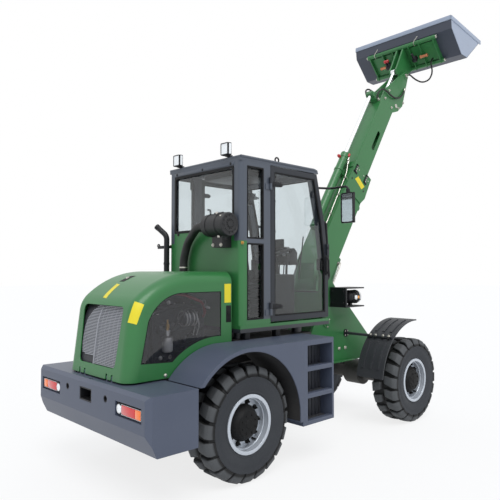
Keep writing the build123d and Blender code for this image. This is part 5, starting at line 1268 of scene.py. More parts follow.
# Cab glass: flat toughened panes, clear with a faint grey tint, and a wiper at the front.
# The wiper is a bent arm with a straight blade across it.
WIPER_ARM = ((1.440, 0.050, 1.540), (1.436, 0.020, 1.600), (1.425, -0.180, 2.000))
WIPER_BLADE = ((1.428, -0.130, 1.700), (1.418, -0.210, 2.180))
dress(glazed("cab_glass", srgb(228, 234, 236)), "cab_windows", "door_left_glass", "door_right_glass")
wiper = bmesh.new()
tube(wiper, [at(*place) for place in WIPER_ARM], 0.008, 0.02)
tube(wiper, [at(*place) for place in WIPER_BLADE], 0.007)
piece("wiper", wiper, satin_black, "rear_body")

# Doors: one folded steel frame and one pane each, hung at the rear on two strap hinges, with
# a black lock, a pale inner grab bar and a rubber seal round the pane.
DOOR_PANE = ((0.594, 1.357), (1.370, 1.357), (1.370, 1.888), (1.312, 2.292), (1.197, 2.762), (0.594, 2.762))
DOOR_SEAL_Y = 0.5435
STRAP_HEIGHTS = (1.448, 2.640)
STRAP_Y = 0.5582
STRAP_THICK = 0.009
STRAP_LINE = (
    # station, height from the strap's middle
    (0.560, -0.026), (0.680, -0.022), (0.700, -0.012), (0.706, 0.002), (0.700, 0.016), (0.680, 0.024),
    (0.560, 0.028),
)
STRAP_RIVETS_X = (0.610, 0.668)
STRAP_RIVET = ((0, 0), (0, 0.010), (0.005, 0.009), (0.007, 0))
LOCK_BRICKS = (
    # low corner, high corner, rounding: lock plate outside, lock case inside
    ((1.372, 0.5575, 1.750), (1.404, 0.572, 1.952), 0.005),
    ((1.300, 0.490, 1.800), (1.395, 0.523, 1.930), 0.008),
)
HANDLE_LINE = ((1.386, 0.570, 1.765), (1.386, 0.596, 1.790), (1.386, 0.596, 1.915), (1.386, 0.570, 1.940))
LOCK_BARREL = (1.390, 0.584, 2.040)
GRAB_LINE = ((0.640, 0.524, 2.180), (0.640, 0.478, 2.190), (0.640, 0.478, 2.470), (0.640, 0.524, 2.480))
door_grey = coated(
    "door_grey", srgb(38, 42, 49), 0.42, coat=0.1, mottle=0.05, dust=0.04, grain_scale=300, gloss=0.35)
pale_grey = coated("pale_grey", srgb(196, 200, 202), 0.4, mottle=0.05, dust=0.03)
dress(door_grey, "door_left", "door_right")
for side_name, hand in SIDES:
    sideways = (0, hand, 0)
    rubber = bmesh.new()
    frame_strip(rubber, rounded(side_loop(DOOR_PANE, hand, DOOR_SEAL_Y), 0.03), sideways, 0.013, 0.0125)
    piece(f"door_seal_{side_name}", rubber, seal_black, f"door_{side_name}")
    straps = bmesh.new()
    for height in STRAP_HEIGHTS:
        strap_loop = [at(x, hand * STRAP_Y, height + z) for x, z in STRAP_LINE]
        slab(straps, strap_loop, (0, hand * STRAP_THICK, 0), 0.003)
        for x in STRAP_RIVETS_X:
            lathe(straps, at(x, hand * 0.566, height + 0.001), sideways, STRAP_RIVET, 14)
    for low, high, bevel in LOCK_BRICKS:
        brick(straps, *sided(hand, low, high), bevel)
    tube(straps, [at(x, hand * y, z) for x, y, z in HANDLE_LINE], 0.009, 0.02)
    x, y, z = LOCK_BARREL
    drum(straps, at(x, hand * y, z), sideways, 0.012, 0.006, 16)
    piece(f"door_straps_{side_name}", straps, satin_black, f"door_{side_name}")
    grab = bmesh.new()
    tube(grab, [at(x, hand * y, z) for x, y, z in GRAB_LINE], 0.011, 0.03)
    piece(f"door_grab_{side_name}", grab, pale_grey, f"door_{side_name}")

# Seat: a sprung pedestal under two foam cushions in black vinyl, swollen by a cloth
# simulation, with side plates that carry the back and a belt with its buckle.
CUSHIONS = (
    # name, low corner, high corner
    ("seat_cushion", (0.575, -0.228, 1.712), (1.000, 0.228, 1.794)),
    ("seat_back", (0.482, -0.218, 1.806), (0.566, 0.218, 2.366)),
)
CUSHION_ROUND = 0.030
CUSHION_CREASE = 60
CUSHION_VOXEL = 0.007
CUSHION_PRESSURE = 4
CUSHION_FRAMES = 20
CUSHION_CAP = 0.010
PEDESTAL_BRICKS = (
    # low corner, high corner, rounding: base plate, seat pan
    ((0.630, -0.170, 1.291), (0.910, 0.170, 1.330), 0.006),
    ((0.600, -0.190, 1.660), (0.960, 0.190, 1.702), 0.008),
)
BELLOWS_X = ((0.640, 0.900), (0.648, 0.892))
BELLOWS_HALF = 0.165
BELLOWS_START_Z = 1.345
BELLOWS_PITCH = 0.052
BELLOWS_HEIGHT = 0.046
BELLOWS_FOLDS = 6
SEAT_SIDE = ((0.520, 1.740), (0.570, 1.700), (0.640, 1.700), (0.560, 1.800), (0.530, 2.000), (0.505, 2.000))
SEAT_SIDE_Y = 0.222
BELT = ((0.600, 1.720), (0.640, 1.720), (0.640, 1.790), (0.600, 1.790))
BELT_Y = -0.236
BUCKLE = ((0.595, -0.246, 1.785), (0.645, -0.234, 1.835))
seat_vinyl = coated(
    "seat_vinyl", srgb(34, 35, 38), 0.55, mottle=0.08, dust=0.05, grain_scale=420, relief=0.18)


def cushion(name, low, high):
    """Foam cushion blown up by a cloth simulation from a slightly smaller rounded block."""
    mesh = bmesh.new()
    brick(mesh, low, high, CUSHION_ROUND)
    made = object_of(name, mesh, seat_vinyl, CUSHION_CREASE)
    remesh = made.modifiers.new("even", "REMESH")
    remesh.mode = "VOXEL"
    remesh.voxel_size = CUSHION_VOXEL
    even = bpy.data.meshes.new_from_object(made.evaluated_get(bpy.context.evaluated_depsgraph_get()))
    made.modifiers.clear()
    made.data = even
    start = [vertex.co.copy() for vertex in even.vertices]
    cloth = made.modifiers.new("swell", "CLOTH")
    cloth.settings.use_pressure = True
    cloth.settings.uniform_pressure_force = CUSHION_PRESSURE
    cloth.settings.effector_weights.gravity = 0
    cloth.point_cache.frame_start = 1
    cloth.point_cache.frame_end = CUSHION_FRAMES
    for moment in range(1, CUSHION_FRAMES + 1):
        scene.frame_set(moment)
    swollen = made.evaluated_get(bpy.context.evaluated_depsgraph_get())
    moved = [vertex.co.copy() for vertex in swollen.data.vertices]
    made.modifiers.clear()
    for vertex, before, after in zip(even.vertices, start, moved):
        step = after - before
        if step.length > CUSHION_CAP:
            step *= CUSHION_CAP / step.length
        vertex.co = before + step
    scene.frame_set(1)
    made.data.materials.clear()
    made.data.materials.append(seat_vinyl)
    made.data.shade_smooth()
    smooth = made.modifiers.new("smooth", "SUBSURF")
    smooth.levels = smooth.render_levels = 1
    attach(made, "rear_body")


pedestal = bmesh.new()
for low, high, bevel in PEDESTAL_BRICKS:
    brick(pedestal, low, high, bevel)
for index in range(BELLOWS_FOLDS):
    level = BELLOWS_START_Z + BELLOWS_PITCH * index
    rear, front = BELLOWS_X[index % 2]
    brick(pedestal, (rear, -BELLOWS_HALF, level), (front, BELLOWS_HALF, level + BELLOWS_HEIGHT), 0.016)
for hand in HANDS:
    slab(pedestal, [at(x, hand * SEAT_SIDE_Y, z) for x, z in SEAT_SIDE], (0, hand * 0.010, 0), 0.002)
pedestal_piece = piece("seat_pedestal", pedestal, satin_black, "rear_body")
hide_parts("seat")
for name, low, high in CUSHIONS:
    cushion(name, low, high)
belt = bmesh.new()
slab(belt, [at(x, BELT_Y, z) for x, z in BELT], (0, -0.004, 0), 0.001)
brick(belt, *BUCKLE, 0.004)
piece("seat_belt", belt, satin_black, "rear_body")

# Steering and controls: a padded wheel on its raked column, a dash pod with gauges, and
# a joystick on the console at the driver's right hand.
DASH_LINE = ((1.200, 1.860), (1.330, 1.860), (1.330, 2.000), (1.280, 2.050), (1.190, 1.960))
DASH_HALF = 0.200
CONTROL_BRICKS = (
    # low corner, high corner, rounding: console, display, roof lining, radio
    ((0.640, -0.440, 1.292), (1.020, -0.300, 1.760), 0.020),
    ((1.215, -0.080, 2.040), (1.245, 0.080, 2.150), 0.008),
    ((0.400, -0.300, 2.745), (0.900, 0.300, 2.812), 0.02),
    ((1.100, 0.330, 2.560), (1.160, 0.450, 2.700), 0.008),
)
STICK_LINE = ((0.960, -0.370, 1.750), (0.965, -0.370, 1.850), (0.980, -0.365, 1.900))
STICK_GRIP_PLACE = (0.980, -0.365, 1.890)
STICK_GRIP = ((0, 0), (0.004, 0.018), (0.030, 0.026), (0.075, 0.024), (0.090, 0.014), (0.094, 0))
LEVERS_Y = (-0.405, -0.340)
LEVER_FOOT = (0.880, 1.752)
LEVER_HEAD = (0.890, 1.860)
LEVER_KNOB = ((0, 0), (0.006, 0.013), (0.022, 0.015), (0.034, 0.009), (0.036, 0))
LEVER_KNOB_Z = 1.850
COAT_HOOK = ((0.235, 0.300, 2.790), (0.235, 0.300, 2.640))
GAUGES_Y = (-0.120, 0.0, 0.120)
GAUGE_PLACE = (1.222, 1.985)
GAUGE_WAY = (-0.72, 0, 0.70)
GAUGE = ((-0.010, 0), (-0.010, 0.042), (0.006, 0.042), (0.008, 0.038), (0.006, 0.0))
dress(satin_black, "steering_column")
controls = bmesh.new()
slab(controls, [at(x, -DASH_HALF, z) for x, z in DASH_LINE], (0, 2 * DASH_HALF, 0), 0.010)
for low, high, bevel in CONTROL_BRICKS:
    brick(controls, low, high, bevel)
tube(controls, [at(*place) for place in STICK_LINE], 0.012, 0.02)
lathe(controls, at(*STICK_GRIP_PLACE), (0.1, 0, 1), STICK_GRIP, 18)
for y in LEVERS_Y:
    tube(controls, [at(x, y, z) for x, z in (LEVER_FOOT, LEVER_HEAD)], 0.006)
    lathe(controls, at(LEVER_HEAD[0], y, LEVER_KNOB_Z), UPWARD, LEVER_KNOB, 14)
tube(controls, [at(*place) for place in COAT_HOOK], 0.012)
piece("cab_controls", controls, satin_black, "rear_body")
gauges = bmesh.new()
for y in GAUGES_Y:
    lathe(gauges, at(GAUGE_PLACE[0], y, GAUGE_PLACE[1]), GAUGE_WAY, GAUGE, 24)
piece("dash_gauges", gauges, pale_grey, "rear_body")

# Mirrors and grab rails: black bent tube; each mirror head has a pale glass in a rubber rim.
# A clamp holds the head on its tube.
MIRROR_X = 1.4515
MIRROR_Y = (0.715, 0.875)
MIRROR_Z = (2.300, 2.620)
MIRROR_CLAMP = (1.466, 0.795, 2.640)
mirror_glass = coated(
    "mirror_glass", srgb(210, 216, 220), 0.05, metallic=1.0, mottle=0.02, dust=0.01, grain_scale=300,
    relief=0.0)
dress(satin_black, "mirrors", "grab_rails")
for side_name, hand in SIDES:
    loop = rounded(rear_loop(MIRROR_X, [hand * y for y in MIRROR_Y], MIRROR_Z), 0.03)
    rim = bmesh.new()
    frame_strip(rim, loop, REARWARD, 0.012, 0.008)
    x, y, z = MIRROR_CLAMP
    band(rim, at(x, hand * y, z), UPWARD, 0.016, 0.022, 0.05, 18, start=-0.03)
    piece(f"mirror_rim_{side_name}", rim, satin_black, "rear_body")
    glass = bmesh.new()
    slab(glass, inset_loop(loop, REARWARD, 0.0115), (-0.004, 0, 0))
    piece(f"mirror_glass_{side_name}", glass, mirror_glass, "rear_body")

# Roof lamps: square work lamps with a clear lens in a black bezel, on bent steel feet that
# two bolts each hold to the roof.
ROOF_LAMP_Y = (0.330, 0.434)
ROOF_LAMP_Z = (2.885, 3.000)
ROOF_LAMP_REAR = 0.104
ROOF_LAMP_BOLTS_Y = (0.366, 0.398)
ROOF_LAMP_BOLT_X = 0.150
ROOF_LAMP_SIDE_X = (0.109, 0.136)
ROOF_LAMP_SIDE_GAP = 0.0015
ROOF_LAMP_SIDE_HALF = 0.0012
ROOF_LAMP_SIDE_INSET = 0.008
dress(satin_black, "roof_lamps")
for side_name, hand in SIDES:
    near, far = ROOF_LAMP_Y
    low, high = ROOF_LAMP_Z
    loop = rounded(rear_loop(ROOF_LAMP_REAR, (hand * near, hand * far), ROOF_LAMP_Z), 0.010)
    bezel = bmesh.new()
    frame_strip(bezel, loop, REARWARD, 0.008, 0.010)
    for y in ROOF_LAMP_BOLTS_Y:
        bolt(bezel, at(ROOF_LAMP_BOLT_X, hand * y, ROOF_Z + 0.012), UPWARD, 0.014)
    piece(f"roof_bezel_{side_name}", bezel, satin_black, "rear_body")
    pane = bmesh.new()
    slab(pane, inset_loop(loop, REARWARD, 0.0075), (-0.007, 0, 0), 0.001)
    piece(f"roof_lens_{side_name}", pane, clear_lens, "rear_body")
    side = bmesh.new()
    for y in (hand * (near - ROOF_LAMP_SIDE_GAP), hand * (far + ROOF_LAMP_SIDE_GAP)):
        brick(side, (ROOF_LAMP_SIDE_X[0], y - ROOF_LAMP_SIDE_HALF, low + ROOF_LAMP_SIDE_INSET),
              (ROOF_LAMP_SIDE_X[1], y + ROOF_LAMP_SIDE_HALF, high - ROOF_LAMP_SIDE_INSET))
    piece(f"roof_side_{side_name}", side, clear_lens, "rear_body")

# Exhaust stack: black painted pipe on the left mudguard with a bent tail, a clamp and a
# bracket with a hole that ties it to the cab.
STACK_PLACE = (0.098, 0.548)
STACK_TIP = Vector((0.050, 0.668, 2.268))
STACK_BEND = Vector((0.098, 0.548, 2.165))
STACK_MOUTH = (
    (-0.030, 0.0285), (-0.030, 0.031), (0.0, 0.031), (0.0, 0.026), (-0.020, 0.026), (-0.020, 0.0),
)
STACK_BANDS_Z = (1.300, 1.860)
STACK_BRICKS = (
    # low corner, high corner: clamp's ear, bracket, bracket's foot on the cab
    ((0.094, 0.575, 1.860), (0.102, 0.598, 1.882)),
    ((0.096, 0.558, 2.030), (0.104, 0.716, 2.062)),
    ((0.100, 0.520, 2.034), (0.146, 0.560, 2.058)),
)
STACK_EYE = (0.100, 0.700, 2.062)
dress(satin_black, "exhaust")
stack = bmesh.new()
lathe(stack, at(*STACK_TIP), (STACK_TIP - STACK_BEND).normalized(), STACK_MOUTH, 28)
for level in STACK_BANDS_Z:
    band(stack, at(*STACK_PLACE, level), UPWARD, 0.0285, 0.0325, 0.022, 28)
for low, high in STACK_BRICKS:
    brick(stack, low, high, 0.002)
band(stack, at(*STACK_EYE), FORWARD, 0.012, 0.022, 0.010, 20, start=-0.005)
piece("stack_fittings", stack, satin_black, "rear_body")

# Air cleaner: moulded black canister on a bracket behind the cab, with a ribbed end cover,
# two clamp bands, a dust valve, and a corrugated hose down to the engine.
LEFTWARD = Vector((0, 1, 0))
CLEANER_X = 0.032
CLEANER_Y = (-0.525, -0.235)
CLEANER_Z = 2.220
CLEANER_SEGMENTS = 56
CLEANER_END = (
    # along the canister from its end, radius
    (-0.060, 0.104), (-0.058, 0.110), (0.004, 0.110), (0.012, 0.104), (0.014, 0.092), (0.010, 0.088),
    (0.010, 0.070), (0.016, 0.066), (0.016, 0.050), (0.010, 0.046), (0.010, 0.030), (0.018, 0.026),
    (0.018, 0.0),
)
CLEANER_RIBS = 12
CLEANER_RIB_REACH = (0.030, 0.086)
CLEANER_RIB_HALF = 0.004
CLEANER_RIB_DEPTH = 0.015
CLEANER_BANDS = (0.090, 0.225)
DUST_VALVE_PLACE = (CLEANER_X, -0.470, 2.120)
DUST_VALVE = ((-0.03, 0.030), (0.010, 0.030), (0.026, 0.018), (0.040, 0.022), (0.040, 0))
CLEANER_SPOUT = ((-0.004, 0.100), (0.020, 0.080), (0.045, 0.050), (0.075, 0.046), (0.075, 0.040))
CLEANER_CAP_PLACE = (0.055, -0.360, 2.322)
SPOUT_CLAMP_Y = -0.180
HOSE_CLAMP_PLACE = (0.084, 0.230, 1.822)
BRACKET_BOLTS_Y = (-0.415, -0.300)
BRACKET_BOLT_Z = 2.036
CLEANER_CATCHES = ((-0.500, 2.300), (-0.445, 2.330), (-0.470, 2.115))
CLEANER_CATCH = ((-0.085, -0.010, -0.018), (-0.070, 0.010, 0.002))
cleaner_black = coated(
    "cleaner_black", srgb(30, 31, 34), 0.5, mottle=0.10, dust=0.06, grain_scale=260, relief=0.08)
dress(cleaner_black, "air_cleaner")
dress(hose_black, "intake_hose")
canister = bmesh.new()
end = at(CLEANER_X, CLEANER_Y[0], CLEANER_Z)
lathe(canister, end, -LEFTWARD, CLEANER_END, CLEANER_SEGMENTS)
for spoke in wheel_ways(CLEANER_RIBS):
    half = Vector((-spoke.z, 0, spoke.x)) * CLEANER_RIB_HALF
    root, tip = (end + spoke * reach for reach in CLEANER_RIB_REACH)
    slab(canister, [root - half, root + half, tip + half, tip - half], (0, -CLEANER_RIB_DEPTH, 0))
for along in CLEANER_BANDS:
    band(canister, end, LEFTWARD, 0.103, 0.1085, 0.022, CLEANER_SEGMENTS, start=along)
lathe(canister, at(*DUST_VALVE_PLACE), -UPWARD, DUST_VALVE, 20)
lathe(canister, at(CLEANER_X, CLEANER_Y[1], CLEANER_Z), LEFTWARD, CLEANER_SPOUT, 40)
button(canister, at(*CLEANER_CAP_PLACE), (-0.2, 0, 1), 0.050, 0.012, 0.020, 0.044, 30, foot=-0.02)
piece("cleaner_cover", canister, cleaner_black, "rear_body")
clamps = bmesh.new()
band(clamps, at(CLEANER_X, SPOUT_CLAMP_Y, CLEANER_Z), LEFTWARD, 0.042, 0.0485, 0.014, 32)
band(clamps, at(*HOSE_CLAMP_PLACE), UPWARD, 0.0395, 0.0425, 0.014, 32)
for y in BRACKET_BOLTS_Y:
    bolt(clamps, at(CLEANER_X, y, BRACKET_BOLT_Z), REARWARD, 0.024)
for y, z in CLEANER_CATCHES:
    low, high = ((CLEANER_X + along, y + across, z + rise) for along, across, rise in CLEANER_CATCH)
    brick(clamps, low, high, 0.003)
piece("cleaner_clamps", clamps, bright_zinc, "rear_body")

# Front frame: two green plates that carry the boom's pivot, welded over the front axle. Pins
# are held by keeper plates, and zinc bolts show where the brackets are fixed.
BOOM_PIVOT = (1.800, 1.640)
LIFT_BASE = (1.850, 1.190)
PLATE_OUTER = 0.190
PIN_CAP = (
    # along the pin from the plate, radius
    (-0.001, 0.0), (-0.001, 0.062), (0.010, 0.062), (0.013, 0.058), (0.013, 0.042), (0.022, 0.040),
    (0.024, 0.036), (0.024, 0.0),
)
KEEPER_SEAT = 0.011
KEEPER_CIRCLE = 0.052
KEEPER_TURNS = (0.6, 2.7, 4.8)
KEEPER_SIZE = 0.016
PLATE_BOLTS = ((1.720, 1.330), (1.720, 1.420), (1.700, 0.860), (1.860, 0.860), (2.090, 0.860), (2.210, 0.860))
PLATE_BOLT_SIZE = 0.030
FOOT_FLANGE = ((1.570, 0.190, 0.700), (2.370, 0.220, 0.716))
dress(green_paint, "front_frame")


def bolt_circle(mesh, x, y, z, hand, circle, turns, size):
    """Bolts round a place on one side of the machine."""
    for turn in turns:
        seat = at(x + circle * math.cos(turn), hand * y, z + circle * math.sin(turn))
        bolt(mesh, seat, (0, hand, 0), size)


caps = bmesh.new()
keepers = bmesh.new()
for hand in HANDS:
    for x, z in (BOOM_PIVOT, LIFT_BASE):
        lathe(caps, at(x, hand * PLATE_OUTER, z), (0, hand, 0), PIN_CAP, 36)
        keeper_y = PLATE_OUTER + KEEPER_SEAT
        bolt_circle(keepers, x, keeper_y, z, hand, KEEPER_CIRCLE, KEEPER_TURNS, KEEPER_SIZE)
    for x, z in PLATE_BOLTS:
        bolt(keepers, at(x, hand * PLATE_OUTER, z), (0, hand, 0), PLATE_BOLT_SIZE)
    brick(caps, *sided(hand, *FOOT_FLANGE), 0.003)
piece("frame_caps", caps, green_paint, "front_body")
piece("frame_bolts", keepers, bright_zinc, "front_body")

# Front mudguards: black moulded plastic with pressed ribs, bolted to a flat black bar that
# comes out of the frame plate.
GUARD_BAR_REACH = 0.734
GUARD_BAR_TURN = math.radians(132)
GUARD_CENTRE_Z = 0.492
STRAPS_Y = (0.555, 0.625, 0.725, 0.800)
STRAP_CORNERS = ((-0.020, -0.034), (0.020, -0.034), (0.020, 0.034), (-0.020, 0.034))
STRAP_SEAT = 0.012
STRAP_PLATE = 0.006
STRAP_BOLT_SIZE = 0.022
BAR_FLANGE = ((0, 0.016), (0, 0.046), (0.010, 0.046), (0.012, 0.040), (0.012, 0.016))
BAR_BOLT_CIRCLE = 0.034
BAR_BOLT_TURNS = (0.8, 2.4, 3.9, 5.5)
BAR_BOLT_SIZE = 0.012
guard_plastic = coated(
    "guard_plastic", srgb(40, 43, 49), 0.55, mottle=0.08, dust=0.06, grain_scale=260, relief=0.10)
dress(guard_plastic, "front_mudguards")
axle_low, axle_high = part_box("front_axle")
bar_out = Vector((math.cos(GUARD_BAR_TURN), 0, math.sin(GUARD_BAR_TURN)))
bar_along = Vector((-bar_out.z, 0, bar_out.x))
bar_x = (axle_low.x + axle_high.x) / 2 - AXLE_X + GUARD_BAR_REACH * math.cos(GUARD_BAR_TURN)
bar_z = GUARD_CENTRE_Z + GUARD_BAR_REACH * math.sin(GUARD_BAR_TURN)
straps = bmesh.new()
heads = bmesh.new()
for hand in HANDS:
    for y in STRAPS_Y:
        seat = at(bar_x, hand * y, bar_z) + bar_out * STRAP_SEAT
        strap_loop = [seat + Vector((0, across, 0)) + bar_along * along for across, along in STRAP_CORNERS]
        slab(straps, strap_loop, bar_out * STRAP_PLATE, 0.002)
        bolt(heads, seat + bar_out * STRAP_PLATE, bar_out, STRAP_BOLT_SIZE)
    lathe(straps, at(bar_x, hand * PLATE_OUTER, bar_z), (0, hand, 0), BAR_FLANGE, 28)
    bar_bolt_y = PLATE_OUTER + KEEPER_SEAT
    bolt_circle(heads, bar_x, bar_bolt_y, bar_z, hand, BAR_BOLT_CIRCLE, BAR_BOLT_TURNS, BAR_BOLT_SIZE)
piece("guard_straps", straps, satin_black, "front_body")
piece("guard_bolts", heads, bright_zinc, "front_body")

# Headlights: round black lamps in folded brackets on the frame plates, with a plated ring,
# a clear lens ahead and a small amber and white marker on the outer side.
HEADLAMP = (2.250, 0.3175, 1.485)
BOWL_X = 2.080
BOWL = ((-0.004, 0.078), (0.012, 0.072), (0.030, 0.050), (0.036, 0.030), (0.050, 0.026), (0.050, 0.0))
BOWL_BANDS = (0.030, 0.090)
BRACKET_BACK = ((1.925, 0.205, 1.383), (1.933, 0.430, 1.590))
BRACKET_BOLTS = ((0.240, 1.420), (0.240, 1.555), (0.395, 1.420), (0.395, 1.555))
BRACKET_BOLT_X = 1.905
LAMP_LENS = ((-0.004, 0.0), (-0.004, 0.070), (0.004, 0.070), (0.012, 0.056), (0.017, 0.030), (0.018, 0.0))
LAMP_RING = (
    (-0.020, 0.0785), (-0.020, 0.083), (0.004, 0.083), (0.008, 0.076), (0.006, 0.069), (-0.002, 0.069),
)
WHITE_MARKER_PLACE = (2.150, 0.3925, 1.480)
WHITE_MARKER = ((0, 0), (0, 0.026), (0.010, 0.026), (0.014, 0.018), (0.015, 0))
AMBER_MARKER_PLACE = (2.200, 0.3915, 1.482)
AMBER_MARKER = ((0, 0), (0, 0.018), (0.010, 0.018), (0.013, 0.012), (0.014, 0))
amber_lens = lens("amber_lens", srgb(228, 150, 40), 0.15)
dress(satin_black, "headlights")
for side_name, hand in SIDES:
    sideways = (0, hand, 0)
    x, y, z = HEADLAMP
    lamp_front = at(x, hand * y, z)
    bowl_place = at(BOWL_X, hand * y, z)
    bowl = bmesh.new()
    lathe(bowl, bowl_place, REARWARD, BOWL, 36)
    for along in BOWL_BANDS:
        band(bowl, bowl_place, FORWARD, 0.0775, 0.081, 0.012, 36, start=along)
    brick(bowl, *sided(hand, *BRACKET_BACK), 0.002)
    for bolt_y, bolt_z in BRACKET_BOLTS:
        bolt(bowl, at(BRACKET_BOLT_X, hand * bolt_y, bolt_z), REARWARD, 0.018)
    piece(f"headlamp_bowl_{side_name}", bowl, satin_black, "front_body")
    face = bmesh.new()
    lathe(face, lamp_front, FORWARD, LAMP_LENS, 40)
    x, y, z = WHITE_MARKER_PLACE
    lathe(face, at(x, hand * y, z), sideways, WHITE_MARKER, 24)
    piece(f"headlamp_lens_{side_name}", face, clear_lens, "front_body")
    ring = bmesh.new()
    lathe(ring, lamp_front, FORWARD, LAMP_RING, 40, closed=True)
    piece(f"headlamp_ring_{side_name}", ring, plated, "front_body")
    marker = bmesh.new()
    x, y, z = AMBER_MARKER_PLACE
    lathe(marker, at(x, hand * y, z), sideways, AMBER_MARKER, 20)
    piece(f"headlamp_marker_{side_name}", marker, amber_lens, "front_body")

# Outer boom: folded and welded green box with a stiffened mouth. Black wear pads are bolted in
# its cheeks, a zinc pipe runs along its top, and a blank yellow plate is stuck on.
BOOM_TURN = math.radians(57.2)
BOOM_FACE_Y = 0.155
PAD_BRACKETS = (
    # start along the boom, end along the boom, height
    (1.556, 1.680, 0.188),
    (1.565, 1.690, -0.042),
)
PAD_BAR = 0.020
PAD_LEG = 0.022
PAD_LEG_DROPS = (0.045, 0.028)
PAD_DEPTHS = (-0.002, 0.010)
PAD_BOLTS = (0.25, 0.55, 0.85)
PAD_BOLT_DROP = 0.016
PAD_BOLT_SIZE = 0.016
BOOM_PLATE = ((1.488, 0.140), (1.559, 0.100), (1.528, -0.078), (1.458, -0.041))
BOOM_HOLES = ((1.457, 0.191), (1.464, -0.089), (1.563, 0.210))
MOUTH_SCREWS = ((1.640, 0.130), (1.640, 0.010), (1.640, -0.100))
PIVOT_RING_Y = 0.1455
PIVOT_RING = ((0, 0.045), (0, 0.072), (0.014, 0.070), (0.014, 0.045))
PIPE_ROUTE = (
    # along the boom, height, y
    (0.640, 0.300, 0.088), (0.700, 0.242, 0.092), (1.500, 0.245, 0.080), (1.580, 0.262, 0.075),
    (1.675, 0.285, 0.062),
)
PIPE_RADIUS = 0.008
PIPE_CLIPS = (0.850, 1.150, 1.420)
PIPE_CLIP = ((0.0, 0.2285, 0.075), (0.026, 0.258, 0.104))
PIPE_NUTS = (
    # along the boom, height, y, length
    (1.630, 0.274, 0.068, 0.060),
    (1.685, 0.290, 0.060, 0.050),
)
PIPE_CAP_PLACE = (1.735, 0.304, 0.058)
VALVE_CAP_PLACE = (1.690, 0.372, 0.020)
red_cap = coated("red_cap", srgb(186, 40, 44), 0.4, coat=0.2, mottle=0.06, dust=0.03)
dress(green_paint, "outer_boom", "inner_boom")


def on_boom(u, w, y):
    """Point from places along and across the boom as it stands at rest."""
    x = BOOM_PIVOT[0] + u * math.cos(BOOM_TURN) - w * math.sin(BOOM_TURN)
    z = BOOM_PIVOT[1] + u * math.sin(BOOM_TURN) + w * math.cos(BOOM_TURN)
    return at(x, y, z)


BOOM_WAY = on_boom(1, 0, 0) - on_boom(0, 0, 0)
BOOM_UP = on_boom(0, 1, 0) - on_boom(0, 0, 0)


def boom_brick(mesh, low, high, bevel):
    """Block in the boom's own frame: places along, across and sideways."""
    ring = ((low[0], low[1]), (high[0], low[1]), (high[0], high[1]), (low[0], high[1]))
    loft(mesh, [[on_boom(u, w, side) for u, w in ring] for side in (low[2], high[2])], bevel)


pads = bmesh.new()
studs = bmesh.new()
labels = bmesh.new()
fitting_caps = bmesh.new()
for hand in HANDS:
    sideways = (0, hand, 0)
    face = hand * BOOM_FACE_Y
    pad_sides = [face + hand * depth for depth in PAD_DEPTHS]
    for start, end, w in PAD_BRACKETS:
        top = w + PAD_BAR
        for low, high in (
            ((start, w), (end, top)),
            ((start, w - PAD_LEG_DROPS[0]), (start + PAD_LEG, top)),
            ((end - PAD_LEG, w - PAD_LEG_DROPS[1]), (end, top)),
        ):
            boom_brick(pads, (*low, pad_sides[0]), (*high, pad_sides[1]), 0.002)
        for share in PAD_BOLTS:
            seat = on_boom(start + (end - start) * share, w - PAD_BOLT_DROP, face)
            bolt(studs, seat, sideways, PAD_BOLT_SIZE)
    for u, w in BOOM_HOLES:
        drum(pads, on_boom(u, w, face), sideways, 0.013, 0.0012, 18, foot=-0.003)
    lathe(pads, on_boom(0, 0, hand * PIVOT_RING_Y), sideways, PIVOT_RING, 36, closed=True)
    slab(labels, [on_boom(u, w, face + hand * 0.0002) for u, w in BOOM_PLATE], (0, hand * 0.001, 0))
    for u, w in MOUTH_SCREWS:
        button(studs, on_boom(u, w, face), sideways, 0.009, 0.004, 0.006, 0.005, 14, foot=-0.001)
    tube(studs, [on_boom(u, w, hand * y) for u, w, y in PIPE_ROUTE], PIPE_RADIUS, 0.03)
    for along in PIPE_CLIPS:
        low, high = ((along + u, w, hand * y) for u, w, y in PIPE_CLIP)
        boom_brick(studs, low, high, 0.003)
    for u, w, y, length in PIPE_NUTS:
        neck = length * 0.6
        nut = ((0, 0), (0, 0.014), (neck, 0.014), (neck, 0.010), (length, 0.010), (length, 0))
        lathe(studs, on_boom(u, w, hand * y), BOOM_WAY, nut, 12)
    u, w, y = PIPE_CAP_PLACE
    button(fitting_caps, on_boom(u, w, hand * y), BOOM_WAY, 0.017, 0.040, 0.050, 0.010, 18)
button(fitting_caps, on_boom(*VALVE_CAP_PLACE), BOOM_UP, 0.020, 0.030, 0.040, 0.012, 18)
piece("boom_pads", pads, satin_black, "outer_boom")
piece("boom_plates", labels, plate_yellow, "outer_boom")
piece("boom_pipes", studs, bright_zinc, "outer_boom")
piece("boom_red_caps", fitting_caps, red_cap, "outer_boom")

